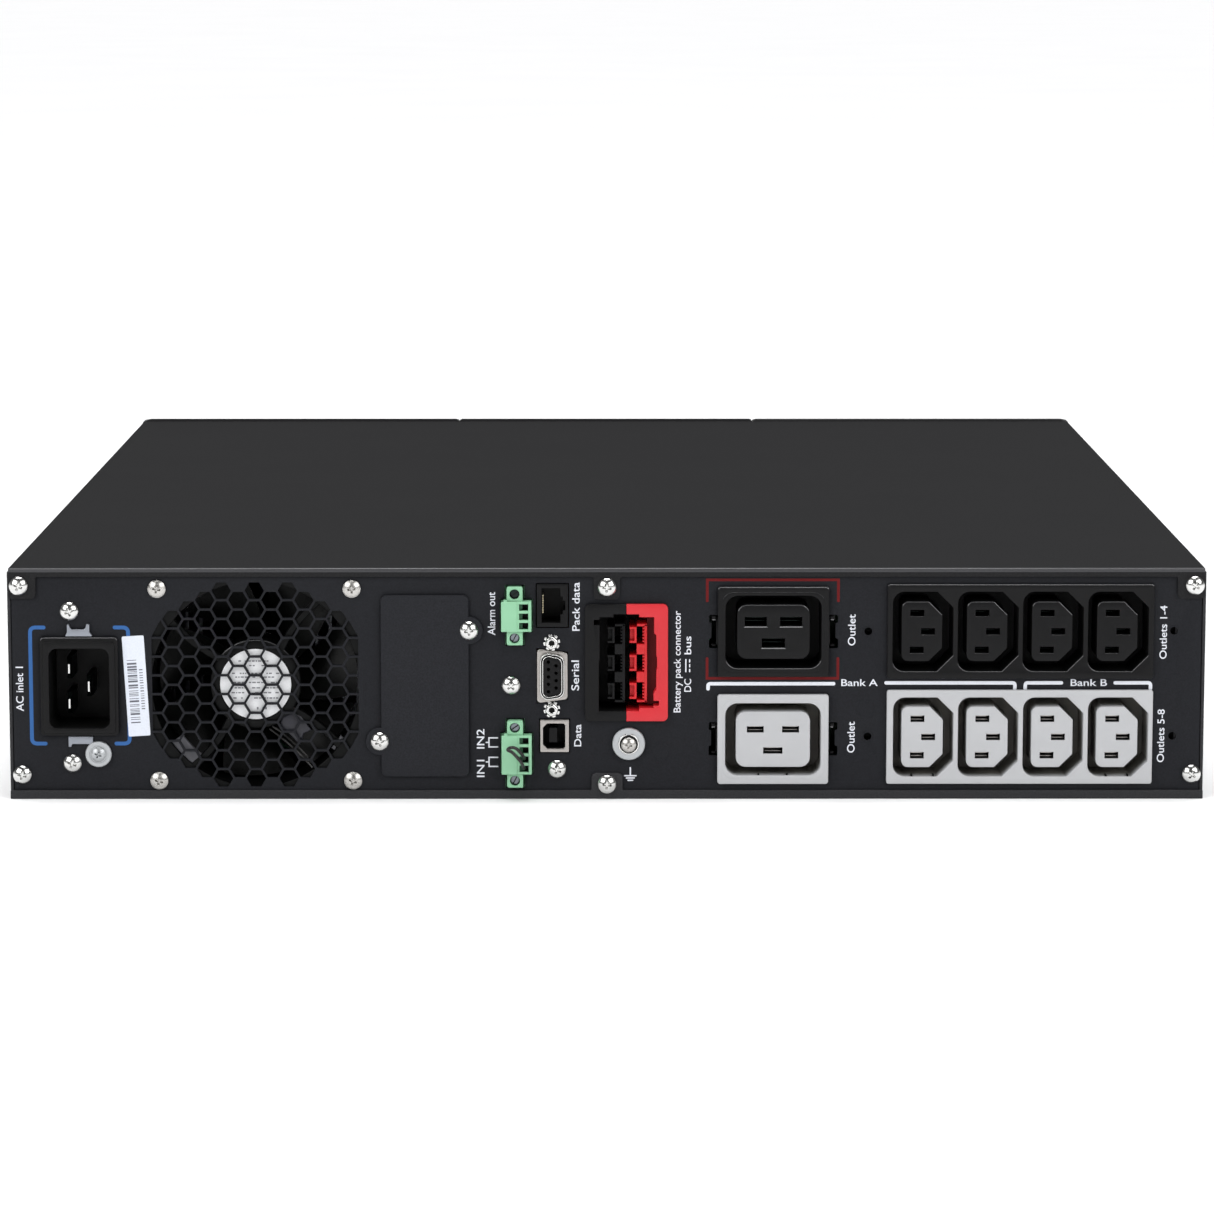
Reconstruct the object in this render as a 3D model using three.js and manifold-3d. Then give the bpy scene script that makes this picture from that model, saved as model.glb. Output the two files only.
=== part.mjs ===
// A two-unit (2U) rack/tower uninterruptible power supply, modelled as an assembly of separate pieces.
// Millimetres, +Z up. The rear panel, which carries the power inlet, fan, ports and outlets, faces -Y;
// the front bezel, display and battery access face +Y. While building, y = 0 is the outer face of the
// rear panel and z = 0 the underside of the base. The finished group is shifted so that the origin is
// the centre of the footprint, on the surface that the unit stands on.
import * as THREE from "three";
import { mergeVertices } from "three/addons/utils/BufferGeometryUtils.js";
import Module from "manifold-3d";

const wasm = await Module();
wasm.setup();

// ---------------------------------------------------------------- driving dimensions
const WIDTH = 440; // case, outside the side walls
const HEIGHT = 86; // case, base to top of the cover
const CASE_DEPTH = 500; // rear panel to front of the case
const SHEET = 1.2; // steel sheet
const BEZEL_BACK = 500.5; // rear edge of the front bezel
const BEZEL_FRONT = 526; // front face of the bezel
const BEZEL_TOP = 87.2, BEZEL_LOW = 83.6; // top of the bezel at its rear edge, 1.2 mm proud of the cover, and at its front
const BEZEL_SEAM = 69.6; // the bezel is in three parts, parted at x = +-69.6
const LIP = 3.3; // height of the cover's and base's rear lips
const FAN_X = -129.3, FAN_Z = 42.5; // fan centre on the rear panel
const FAN_SIDE = 80, FAN_HOLES = 71.5; // 80 mm fan
const HEX_PITCH = 7.0, HEX_AF = 6.1; // honeycomb of the fan's finger guard
const INLET_X = -193.85, INLET_Z = 42.1; // 16 A appliance inlet, turned on its side
const PIN_PITCH = 13, PIN_EARTH = 8; // its pin spacing, and earth offset
const C13_X = [116.5, 140.4, 164.3, 188.2]; // 10 A outlets in each bank
const C13_Z = { black: 62.5, grey: 23.2 };
const C19_X = 61.2, C19_Z = { black: 62.4, grey: 22.4 };
const BANK_X = 152.35;
const RELAY_Z = 68.4, SIGNAL_Z = 17.0, TERMINAL_X = -33.2;
const TERMINAL_PITCH = 3.44;

// ---------------------------------------------------------------- materials
const mat = (color, roughness, metalness = 0) => new THREE.MeshStandardMaterial({ color, roughness, metalness });
const COATED = mat(0x2b2c2e, 0.55, 0.1), PANEL = mat(0x1f2126, 0.6, 0.1), BEZEL = mat(0x1b1c1e, 0.5), BLACK = mat(0x141415, 0.45), GREY = mat(0xc9cacb, 0.5),
  GREEN = mat(0x78d39a, 0.5), RED = mat(0xd8262c, 0.45), STEEL = mat(0xc8c8c6, 0.3, 1), PALE = mat(0xa9adb3, 0.5), ALU = mat(0xb9bcc0, 0.35, 1), BRASS = mat(0xc8b98a, 0.3, 1),
  BOARD = mat(0x1e5a36, 0.5), CAN = mat(0x1a2236, 0.4), COPPER = mat(0xa9673a, 0.4, 0.6), GLASS = mat(0x0c1016, 0.1), CASE = mat(0x3a3d42, 0.6), RUBBER = mat(0x111111, 0.6);

// ---------------------------------------------------------------- solids
const solid = (g) => {
  const n = g.index ? g.toNonIndexed() : g.clone();
  const p = new THREE.BufferGeometry().setAttribute("position", n.getAttribute("position"));
  const m = mergeVertices(p, 1e-4);
  return new wasm.Manifold(new wasm.Mesh({ numProp: 3, vertProperties: new Float32Array(m.attributes.position.array), triVerts: new Uint32Array(m.index.array) }));
};
const box = (x0, x1, y0, y1, z0, z1) => solid(new THREE.BoxGeometry(x1 - x0, y1 - y0, z1 - z0).translate((x0 + x1) / 2, (y0 + y1) / 2, (z0 + z1) / 2));
// A flat outline in x and z, with optional holes, extruded from y0 to y1.
const slab = (pts, y0, y1) => solid(new THREE.ExtrudeGeometry(new THREE.Shape(pts.map(([x, z]) => new THREE.Vector2(x, z))), { depth: y1 - y0, bevelEnabled: false, curveSegments: 1 }).rotateX(Math.PI / 2).translate(0, y1, 0));
const plate = (pts, y0, y1, holes = []) => holes.reduce((s, h) => s.subtract(slab(h, y0 - 1, y1 + 1)), slab(pts, y0, y1));
// A cylinder along y, its ends at y0 and y1.
const rod = (x, z, r, y0, y1, n = 12, r2 = r) => solid(new THREE.CylinderGeometry(r2, r, y1 - y0, n).translate(x, (y0 + y1) / 2, z));
// A cylinder along x, and one along z.
const rodX = (x0, x1, y, z, r, n = 8) => solid(new THREE.CylinderGeometry(r, r, x1 - x0, n).rotateZ(Math.PI / 2).translate((x0 + x1) / 2, y, z));
const rodZ = (x, y, z0, z1, r, n = 16) => solid(new THREE.CylinderGeometry(r, r, z1 - z0, n).rotateX(Math.PI / 2).translate(x, y, (z0 + z1) / 2));
const rect = (x0, x1, z0, z1) => [[x0, z0], [x1, z0], [x1, z1], [x0, z1]];
const rounded = (x0, x1, z0, z1, r, n = 3) => {
  const out = [];
  for (const [cx, cz, a0] of [[x1 - r, z1 - r, 0], [x0 + r, z1 - r, 90], [x0 + r, z0 + r, 180], [x1 - r, z0 + r, 270]])
    for (let i = 0; i <= n; i++) {
      const a = ((a0 + (90 * i) / n) * Math.PI) / 180;
      out.push([cx + r * Math.cos(a), cz + r * Math.sin(a)]);
    }
  return out;
};
const circle = (x, z, r, n = 8, turn = 0) => Array.from({ length: n }, (_, i) => [x + r * Math.cos(turn + (2 * Math.PI * i) / n), z + r * Math.sin(turn + (2 * Math.PI * i) / n)]);
// The six-sided outline of a 10 A outlet: round corners on the left, chamfers on the right.
const dee = (x, z, w, h, cut, r, n = 3) => {
  const x0 = x - w / 2, x1 = x + w / 2, z0 = z - h / 2, z1 = z + h / 2, out = [[x1, z0 + cut], [x1, z1 - cut], [x1 - cut, z1]];
  for (const [cx, cz, a0] of [[x0 + r, z1 - r, 90], [x0 + r, z0 + r, 180]])
    for (let i = 0; i <= n; i++) {
      const a = ((a0 + (90 * i) / n) * Math.PI) / 180;
      out.push([cx + r * Math.cos(a), cz + r * Math.sin(a)]);
    }
  out.push([x1 - cut, z0]);
  return out;
};
const all = (list) => list.reduce((a, b) => a.add(b));
const cut = (a, ...tools) => tools.reduce((s, t) => s.subtract(t), a);

const unit = new THREE.Group();
const meshes = [];
const add = (name, s, material) => {
  const m = s.getMesh(), v = new Float32Array(m.numVert * 3);
  for (let i = 0; i < m.numVert; i++) v.set(m.vertProperties.subarray(i * m.numProp, i * m.numProp + 3), i * 3);
  const g = new THREE.BufferGeometry().setAttribute("position", new THREE.BufferAttribute(v, 3)).setIndex(new THREE.BufferAttribute(m.triVerts, 1));
  g.computeVertexNormals();
  const mesh = new THREE.Mesh(g, material);
  mesh.name = name;
  unit.add(mesh);
  meshes.push(mesh);
  return mesh;
};
// A cross-head screw along y: domed head standing on `seat`, shank running into the case.
const screw = (x, z, seat, { head = 3.35, rise = 2.3, shank = 1.45, length = 6 } = {}) =>
  all([rod(x, z, head, seat - rise * 0.45, seat, 12), rod(x, z, head * 0.55, seat - rise, seat - rise * 0.45 + 0.04, 12, head), rod(x, z, shank, seat - 0.3, seat + length, 6)]);

// ---------------------------------------------------------------- case
const COVER_SCREWS = [[-215.6, 79.5], [0.1, 78.9], [215.7, 79.6]];
const BASE_SCREWS = [[-215.5, 9.0], [0.1, 5.6], [215.7, 9.2]];
const x1 = WIDTH / 2;
const shankHole = ([x, z], y0, y1, r = 1.8) => rod(x, z, r, y0, y1, 8);
{
  const side = (s) => {
    const wall = s < 0 ? box(-x1, -x1 + SHEET, -0.1, CASE_DEPTH, 0, 84.6) : box(x1 - SHEET, x1, -0.1, CASE_DEPTH, 0, 84.6);
    const flange = s < 0 ? box(-x1 + 0.5, -209, 1.4, 2.6, 0.5, 84) : box(209, x1 - 0.5, 1.4, 2.6, 0.5, 84);
    return wall.add(flange);
  };
  let pan = all([box(-x1, x1, -1.1, CASE_DEPTH, 0, SHEET), box(-x1, x1, -1.1, -0.1, 0, LIP), plate(rounded(-5.6, 5.9, 1, 9.7, 1.6, 2), -1.1, -0.1), side(-1), side(1)]);
  for (const s of [...COVER_SCREWS, ...BASE_SCREWS]) pan = pan.subtract(shankHole(s, -3, 4));
  // Rack-ear holes near the front of both side walls.
  for (const [y, z] of [[446, 24], [446, 62], [478, 24], [478, 62]]) pan = cut(pan, rodX(-x1 - 1, -x1 + 3, y, z, 2.1), rodX(x1 - 3, x1 + 1, y, z, 2.1));
  add("chassis_base", pan, COATED);
}
{
  let cover = all([
    box(-219.4, 219.4, -1.1, CASE_DEPTH, 84.8, HEIGHT),
    box(-219.4, 219.4, -1.1, -0.15, HEIGHT - LIP, 85),
    plate(rounded(-219.4, -209.4, 74.6, 85, 1.6, 2), -1.1, -0.15),
    plate(rounded(-4.8, 4.9, 74.3, 85, 1.6, 2), -1.1, -0.15),
    plate(rounded(209.4, 219.4, 74.6, 85, 1.6, 2), -1.1, -0.15),
    box(-218.5, -217.5, 4, 496, 72, 85),
    box(217.5, 218.5, 4, 496, 72, 85),
  ]);
  for (const s of COVER_SCREWS) cover = cover.subtract(shankHole(s, -3, 1));
  add("top_cover", cover, COATED);
}


// The panel's cut-out follows a terminal plug: wide for its body, narrow for its screw flanges.
const terminalCutout = (zc, ways) => {
  const half = (ways * TERMINAL_PITCH) / 2 + 0.9, ends = half + 5.2, a = -39.2, b = -27.1, c = -37.3, d = -30.2;
  return [[c, zc - ends], [d, zc - ends], [d, zc - half], [b, zc - half], [b, zc + half], [d, zc + half], [d, zc + ends], [c, zc + ends], [c, zc + half], [a, zc + half], [a, zc - half], [c, zc - half]];
};

// ---------------------------------------------------------------- rear panel and its cut-outs
const SLOT_SCREWS = [[-50.6, 62.9], [-83.6, 21.6]];
const SMALL_SCREWS = [[-197.3, 69.9], [-197.0, 13.3], [-35.2, 42.3], [-18.3, 11.0]]; // screws without a piece of their own here
const JACKSCREWS = [[-20.2, 58.3], [-20.2, 33.4]];
const SERIAL_Z = 45.85;
const fanShape = (inset) => {
  // A circle of 42.5 clipped to a square of 76.8, round the fan's centre.
  const r = 42.5 - inset, k = 38.4 - inset, out = [];
  const a = Math.acos(k / r), b = Math.asin(k / r);
  for (let q = 0; q < 4; q++)
    for (let i = 0; i <= 2; i++) {
      const t = a + ((b - a) * i) / 2 + (q * Math.PI) / 2;
      out.push([FAN_X + r * Math.cos(t), FAN_Z + r * Math.sin(t)]);
    }
  return out;
};
const fanHoles = [-1, 1].flatMap((i) => [-1, 1].map((k) => [FAN_X + (i * FAN_HOLES) / 2, FAN_Z + (k * FAN_HOLES) / 2]));
{
  const holes = [
    rect(INLET_X - 13.1, INLET_X + 13.1, INLET_Z - 17.2, INLET_Z + 17.2),
    rect(-197.2, -190.4, 61.2, 63.6),
    rect(-197.2, -190.4, 20.6, 23.0),
    fanShape(0),
    ...fanHoles.map(([x, z]) => circle(x, z, 2.0)),
    rect(-80.5, -53.2, 11.5, 73),
    ...SLOT_SCREWS.map(([x, z]) => circle(x, z, 1.8)),
    ...SMALL_SCREWS.map(([x, z]) => circle(x, z, 1.8)),
    terminalCutout(RELAY_Z, 3),
    terminalCutout(SIGNAL_Z, 4),
    rect(-26.0, -13.9, 63.7, 80.3),
    [[-25.8, SERIAL_Z - 10.3], [-14.3, SERIAL_Z - 8.9], [-14.3, SERIAL_Z + 8.9], [-25.8, SERIAL_Z + 10.3]],
    ...JACKSCREWS.map(([x, z]) => circle(x, z, 1.8)),
    rect(-24.9, -13.5, 17.2, 29.9),
    rect(-5.4, 20.2, 30.9, 70.6),
    circle(8.1, 20.6, 2.8),
    circle(-187.3, 16.8, 2.2),
    ...["black", "grey"].map((c) => {
      const z = C19_Z[c];
      return [[42.4, z - 15.4], [80.0, z - 15.4], [80.0, z - 6.3], [84.8, z - 6.3], [84.8, z + 6.1], [80.0, z + 6.1], [80.0, z + 15.4], [42.4, z + 15.4], [42.4, z + 6.1], [37.6, z + 6.1], [37.6, z - 6.3], [42.4, z - 6.3]];
    }),
    ...["black", "grey"].map((c) => rect(BANK_X - 48.2, BANK_X + 48.2, C13_Z[c] - 16.2, C13_Z[c] + 16.2)),
    circle(96.1, 62.4, 1.25, 8), circle(96.1, 23.2, 1.25, 8), circle(208.4, 62.6, 1.25, 8), circle(208.4, 23.4, 1.25, 8),
    ...COVER_SCREWS.map(([x, z]) => circle(x, z, 1.8)),
    ...BASE_SCREWS.map(([x, z]) => circle(x, z, 1.8)),
  ];
  add("rear_panel", plate(rect(-218.5, 218.5, 1.6, 84.4), 0, SHEET, holes), PANEL);
}
{
  // The honeycomb finger guard in front of the fan.
  const r = HEX_AF / Math.sqrt(3), dx = (HEX_PITCH * Math.sqrt(3)) / 2, hexes = [];
  const edge = plate(fanShape(0.45), -1, 3);
  for (let i = -6; i <= 6; i++)
    for (let k = -11; k <= 11; k++) {
      if ((k + Math.abs(i)) % 2) continue;
      const x = i * dx, z = (k * HEX_PITCH) / 2;
      if (Math.hypot(x, z) > 42.3 || Math.abs(z) > 35.6) continue;
      hexes.push(plate(circle(FAN_X + x, FAN_Z + z, r, 6), -0.5, 2));
    }
  const guard = plate(fanShape(0.15), 0, SHEET);
  add("fan_guard", hexes.reduce((s, h) => s.subtract(h.intersect(edge)), guard), PANEL);
}

// ---------------------------------------------------------------- screws of the case
COVER_SCREWS.forEach(([x, z], i) => add("cover_screw_" + ["left", "middle", "right"][i], screw(x, z, -1.25), STEEL));
BASE_SCREWS.forEach(([x, z], i) => add("base_screw_" + ["left", "middle", "right"][i], screw(x, z, i === 1 ? -1.25 : -0.15), STEEL));

// ---------------------------------------------------------------- communication-card slot cover
{
  let cover = all([plate(rounded(-83, -50.7, 8.4, 76.0, 2, 2), -1.4, -0.15), rod(-50.6, 62.9, 5.0, -1.4, -0.15, 14), rod(-83.6, 21.6, 5.0, -1.4, -0.15, 14)]);
  for (const s of SLOT_SCREWS) cover = cover.subtract(shankHole(s, -3, 1));
  add("slot_cover", cover, COATED);
  SLOT_SCREWS.forEach(([x, z], i) => add("slot_cover_screw_" + ["upper", "lower"][i], screw(x, z, -1.55), STEEL));
}

// ---------------------------------------------------------------- power inlet
const PINS = { line: [INLET_X - 4, 41.3 + PIN_PITCH / 2], neutral: [INLET_X - 4, 41.3 - PIN_PITCH / 2], earth: [INLET_X - 4 + PIN_EARTH, 41.3] };
{
  let inlet = all([plate(rounded(INLET_X - 14.3, INLET_X + 14.3, 23.8, 60.4, 1.2, 2), -3, -0.15), box(INLET_X - 12.75, INLET_X + 12.75, -0.2, 30, 25.3, 58.9)]);
  inlet = inlet.subtract(plate(rounded(INLET_X - 11.05, INLET_X + 11.05, 26.6, 56.3, 3, 3), -4, 22));
  for (const [x, z] of Object.values(PINS)) inlet = inlet.subtract(box(x - 1.15, x + 1.15, 21, 31, z - 4.15, z + 4.15));
  add("inlet_housing", inlet, BLACK);
  for (const [k, [x, z]] of Object.entries(PINS)) {
    const tip = plate([[x - 1, z - 4], [x + 1, z - 4], [x + 1, z + 4], [x - 1, z + 4]], 5, 34);
    const nose = solid(new THREE.CylinderGeometry(1, 1.41421, 1.6, 4).rotateY(Math.PI / 4).scale(1, 1, 3.6).rotateX(Math.PI).translate(x, 4.3, z));
    add("inlet_pin_" + k, tip.add(nose), STEEL);
  }
  const up = [[-199, 60.7], [-188.6, 60.7], [-189.9, 62.2], [-189.9, 65.3], [-191, 65.3], [-191.4, 63.2], [-196.6, 63.2], [-197.1, 65.3], [-198, 65.3], [-198, 62.2]];
  add("inlet_retainer_upper", all([plate(up, -1.7, -0.15), box(-196.6, -191, -0.3, 6, 61.5, 63.0)]), PALE);
  const down = [[-198.3, 23.5], [-198.3, 19.4], [-197, 19.4], [-196.6, 20.4], [-192.6, 20.4], [-191.6, 21.6], [-189.1, 21.6], [-189.1, 23.5]];
  add("inlet_retainer_lower", all([plate(down.reverse(), -1.7, -0.15), box(-196.6, -191, -0.3, 6, 21.0, 22.6)]), PALE);
  add("inlet_earth_screw", all([rod(-187.3, 16.8, 4.85, -1.3, -0.15, 16), screw(-187.3, 16.8, -1.25, { head: 2.9, rise: 1.9, shank: 1.9, length: 9 })]), STEEL);
}

// ---------------------------------------------------------------- fan
{
  const b = FAN_SIDE / 2, y0 = 1.5, y1 = 26.9;
  let frame = plate(rounded(FAN_X - b, FAN_X + b, FAN_Z - b, FAN_Z + b, 4, 2), y0, y1).subtract(rod(FAN_X, FAN_Z, 38.2, y0 - 1, y1 + 1, 28));
  // Between its flanges the frame is a drum, open at the corners.
  const waist = box(FAN_X - b - 1, FAN_X + b + 1, y0 + 3.5, y1 - 3.5, FAN_Z - b - 1, FAN_Z + b + 1).subtract(rod(FAN_X, FAN_Z, 39.8, y0, y1, 28));
  frame = frame.subtract(waist);
  const spokes = [45, 135, 225, 315].map((a) => box(14, 38.9, y0 + 0.3, y0 + 3.5, -1.2, 1.2).rotate([0, a + 8, 0]).translate([FAN_X, 0, FAN_Z]));
  frame = all([frame, rod(FAN_X, FAN_Z, 16.6, y0 + 0.3, y0 + 4, 28), ...spokes]);
  for (const [x, z] of fanHoles) frame = frame.subtract(rod(x, z, 2.15, y0 - 1, y1 + 1, 8));
  add("fan_frame", frame, BLACK);
  let rotor = rod(FAN_X, FAN_Z, 16.2, y0 + 4.6, y1 - 1.5, 28);
  for (let i = 0; i < 7; i++) {
    const blade = box(12, 37.2, -9.2, 9.2, -0.8, 0.8).rotate([48, 0, 0]).rotate([0, (360 / 7) * i, 0]).translate([FAN_X, y0 + 14.2, FAN_Z]);
    rotor = rotor.add(blade);
  }
  const reach = rod(FAN_X, FAN_Z, 37.0, y0 + 4.6, y1 - 1.5, 28);
  add("fan_rotor", rotor.intersect(reach), BLACK);
}

// ---------------------------------------------------------------- pluggable terminal blocks
const terminal = (name, zc, ways) => {
  const half = (ways * TERMINAL_PITCH) / 2 + 0.4, ends = half + 5.2;
  const x0 = TERMINAL_X - 5.5, x1 = TERMINAL_X + 5.5;
  let plug = all([box(x0, x1, -4.5, 9, zc - half, zc + half), box(TERMINAL_X - 3.5, TERMINAL_X + 2.4, -3, 7, zc - ends, zc + ends)]);
  const ways_z = [];
  for (let i = 0; i < ways; i++) {
    const z = zc + (i - (ways - 1) / 2) * TERMINAL_PITCH;
    ways_z.push(z);
    plug = plug.subtract(box(TERMINAL_X + 1.3, TERMINAL_X + 4.2, -5, 2, z - 1.05, z + 1.05));
  }
  for (const s of [-1, 1]) plug = plug.subtract(rod(TERMINAL_X - 0.8, zc + s * (ends - 2.6), 1.75, -4, -1.2, 10));
  add(name + "_plug", plug, GREEN);
  let header = box(x0 - 1.6, x1 + 1.6, 1.5, 20, zc - ends - 1.0, zc + ends + 1.0);
  header = cut(header, box(x0 - 0.35, x1 + 0.35, 1, 9.4, zc - half - 0.35, zc + half + 0.35), box(TERMINAL_X - 3.85, TERMINAL_X + 2.75, 1, 7.4, zc - ends - 0.35, zc + ends + 0.35));
  add(name + "_header", header, GREEN);
  return ways_z;
};
terminal("relay", RELAY_Z, 3);
const signalWays = terminal("signal", SIGNAL_Z, 4);
{
  // A short insulated wire joins the two lowest ways of the signal plug.
  const [za, zb] = signalWays, x = TERMINAL_X + 2.7;
  const route = [[x, 1, za], [x, -2, za], [x, -5.2, za + 0.1], [x - 0.8, -8.2, za + 1.7], [x - 2.9, -10.6, za + 5.2], [x - 4.8, -11.4, za + 8.1], [x - 5.3, -10.2, za + 9.0], [x - 4.0, -8.6, za + 7.9], [x - 1.6, -6.8, zb + 1.9], [x - 0.1, -5.0, zb + 0.3], [x, -2, zb], [x, 1, zb]];
  const path = new THREE.CatmullRomCurve3(route.map((p) => new THREE.Vector3(...p)), false, "centripetal");
  const section = new THREE.Shape(circle(0, 0, 0.65, 6).map(([a, b]) => new THREE.Vector2(a, b)));
  add("jumper_wire", solid(new THREE.ExtrudeGeometry(section, { steps: 30, bevelEnabled: false, extrudePath: path })), RUBBER);
}

// ---------------------------------------------------------------- data ports
{
  const zc = 72.1;
  let jack = box(-25.7, -14.2, -0.8, 15, zc - 8, zc + 8);
  jack = cut(jack, box(-23.7, -17.0, -1.5, 11, zc - 5.95, zc + 5.95), box(-17.2, -15.3, -1.5, 9, zc - 3.2, zc + 3.2));
  add("network_jack", jack, BLACK);
}
{
  const x = -20.0, z = SERIAL_Z;
  const shape = (w, h, t) => [[x - w / 2, z - h / 2], [x + w / 2, z - h / 2 + t], [x + w / 2, z + h / 2 - t], [x - w / 2, z + h / 2]];
  const ring = plate(shape(8.1, 17.2, 1.4), -5, 2, [shape(7.1, 16.0, 1.3)]);
  let shell = all([plate(rect(x - 4.4, x + 4.4, z - 15.3, z + 15.3), 1.5, 2.4, [shape(7.1, 16.0, 1.3)]), ring]);
  for (const [sx, sz] of JACKSCREWS) shell = shell.subtract(rod(sx, sz, 1.6, 0, 4, 8));
  add("serial_shell", shell, STEEL);
  let insert = plate(shape(6.7, 15.5, 1.25), -4.6, 12);
  for (let i = 0; i < 5; i++) insert = insert.subtract(rod(x - 1.42, z + (i - 2) * 2.77, 0.55, -6, 3, 6));
  for (let i = 0; i < 4; i++) insert = insert.subtract(rod(x + 1.42, z + (i - 1.5) * 2.77, 0.55, -6, 3, 6));
  add("serial_insert", insert, BLACK);
}
{
  const outer = rect(-24.5, -13.9, 17.5, 29.6), inner = [[-23.5, 20.1], [-22.2, 18.8], [-15.3, 18.8], [-15.3, 28.2], [-22.2, 28.2], [-23.5, 26.9]];
  add("usb_shell", plate(outer, -0.9, 15, [inner]), STEEL);
  add("usb_tongue", all([plate([[-23.2, 20.3], [-22.1, 19.2], [-15.6, 19.2], [-15.6, 27.8], [-22.1, 27.8], [-23.2, 26.7]], 10, 14), box(-21.3, -18.2, 3.7, 10.5, 20.6, 26.4)]), BLACK);
}

// ---------------------------------------------------------------- external battery port: two keyed half housings side by side
{
  const z0 = 29.2, z1 = 72.7, seam = 7.2;
  const CONTACTS = [60.6, 50.1, 39.6];
  const halfPort = (s) => {
    // s = -1: the left (black) half, s = 1: the right (red) half
    const a = (x) => (s < 0 ? x : 2 * seam - x); // mirror about the seam
    const bx = (xa, xb, ya, yb, za, zb) => box(Math.min(a(xa), a(xb)), Math.max(a(xa), a(xb)), ya, yb, za, zb);
    let h = all([
      bx(-8, seam - 0.1, -2, -0.15, z0, z1), // flange
      bx(-4.6, seam - 0.1, -0.3, 26, 31.6, 69.9), // body through the panel
    ]);
    h = h.subtract(bx(-2.9, seam + 1, -3, 20, 33.5, 68.1)); // the well
    h = h.subtract(bx(-4.2, -2.8, -3, 3, 62.5, 65.5)); // keyway
    for (const z of CONTACTS) {
      h = h.add(cut(bx(0.2, seam - 0.1, 4.5, 21, z - 3.6, z + 3.6), bx(1.4, seam - 1.6, 3, 18, z - 2.4, z + 2.4)));
    }
    h = h.add(bx(seam - 1.5, seam - 0.1, 4.5, 21, 35.2, 65.0));
    return h;
  };
  add("battery_port_black", halfPort(-1), BLACK);
  add("battery_port_red", halfPort(1), RED);
}
add("ground_stud", all([rod(8.1, 20.6, 6.05, -1.45, -0.15, 20), screw(8.1, 20.6, -1.4, { head: 3.45, rise: 2.6, shank: 2.5, length: 12 }), rod(8.1, 20.6, 4.2, 1.4, 4.6, 6)]), STEEL);

// ---------------------------------------------------------------- 16 A outlets
for (const c of ["black", "grey"]) {
  const z = C19_Z[c], x = C19_X;
  let o = all([plate(rounded(x - 20.45, x + 20.45, z - 16.7, z + 16.7, 1, 1), -2, -0.15), box(x - 18.4, x + 18.4, -0.3, 27, z - 15.1, z + 15.1)]);
  o = o.subtract(plate(rounded(x - 17.4, x + 17.4, z - 13.6, z + 13.6, 4.5, 3), -3, 17));
  o = o.add(plate(rounded(x - 13.8, x + 13.8, z - 10.4, z + 10.4, 3.6, 3), -1.6, 17.5));
  for (const [dx, dz] of [[-6.5, 4], [6.5, 4], [0, -4]]) o = o.subtract(box(x + dx - 3.5, x + dx + 3.5, -3, 14, z + dz - 1.25, z + dz + 1.25));
  // Snap arms at both ends, seen through the panel's notches.
  for (const s of [-1, 1]) o = o.add(box(Math.min(x + s * 18.3, x + s * 21.2), Math.max(x + s * 18.3, x + s * 21.2), 2.2, 12, z - 5.6, z + 5.4));
  add("outlet_16a_" + c, o, c === "black" ? BLACK : GREY);
}
// ---------------------------------------------------------------- banks of four 10 A outlets
for (const c of ["black", "grey"]) {
  const z = C13_Z[c];
  let o = all([plate(rounded(BANK_X - 49.3, BANK_X + 49.3, z - 17.5, z + 17.5, 0.8, 1), -1.7, -0.15), box(BANK_X - 47.9, BANK_X + 47.9, -0.3, 26, z - 15.9, z + 15.9)]);
  for (const x of C13_X) {
    o = o.subtract(plate(dee(x, z, 22.2, 29.9, 5.9, 4.2, 2), -3, 17));
    o = o.add(plate(dee(x, z, 16.0, 23.5, 5.1, 2.4, 2), -1.3, 17.5));
    for (const [dx, dz] of [[-2.1, 7], [2, 0], [-2.1, -7]]) o = o.subtract(box(x + dx - 2.6, x + dx + 2.6, -3, 13, z + dz - 1.15, z + dz + 1.15));
  }
  add("outlet_bank_" + c, o, c === "black" ? BLACK : GREY);
}

// ---------------------------------------------------------------- inside
// Power board with its heatsinks, capacitors and chokes, on the fan's side of the case.
add("power_board", box(-212, 62, 60, 480, 8, 9.6), BOARD);
for (const [name, x] of [["heatsink_left", -176], ["heatsink_right", -98]]) {
  const w = 34;
  let h = box(x - w / 2, x + w / 2, 120, 330, 9.9, 15.5);
  for (let i = 0; i < 7; i++) h = h.add(box(x - w / 2 + i * 5.4, x - w / 2 + i * 5.4 + 1.6, 120, 330, 15, 78));
  add(name, h, ALU);
}
add("bus_capacitor_front", rodZ(-137, 300, 10, 62, 17.5, 20), CAN);
add("bus_capacitor_rear", rodZ(-137, 245, 10, 62, 17.5, 20), CAN);
const toroid = (x, y, z, r, t) => {
  const profile = circle(r, 0, t, 8).map(([a, b]) => new THREE.Vector2(a, b));
  profile.push(profile[0].clone());
  return solid(new THREE.LatheGeometry(profile, 20).rotateX(Math.PI / 2).translate(x, y, z));
};
add("input_choke", toroid(-137, 160, 20.6, 11.5, 8), COPPER);
add("output_choke", toroid(5, 260, 25.8, 26, 15), COPPER);
add("control_board", box(-48.4, -46.8, 24, 200, 12, 78), BOARD);
add("outlet_board", box(36, 206, 34, 35.6, 8, 78), BOARD);
add("battery_bay_wall", box(67.6, 68.8, 90, 496, 1.4, 83), COATED);

// ---------------------------------------------------------------- battery module, drawn out through the front
add("battery_module", plate(rounded(72, 214, 2.2, 78, 2.5, 2), 110, 492), CASE);
add("battery_pull_tab", all([box(128, 158, 492.3, 494, 34, 50), box(130, 156, 493.5, 512, 41, 43.4)]), RUBBER);

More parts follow.
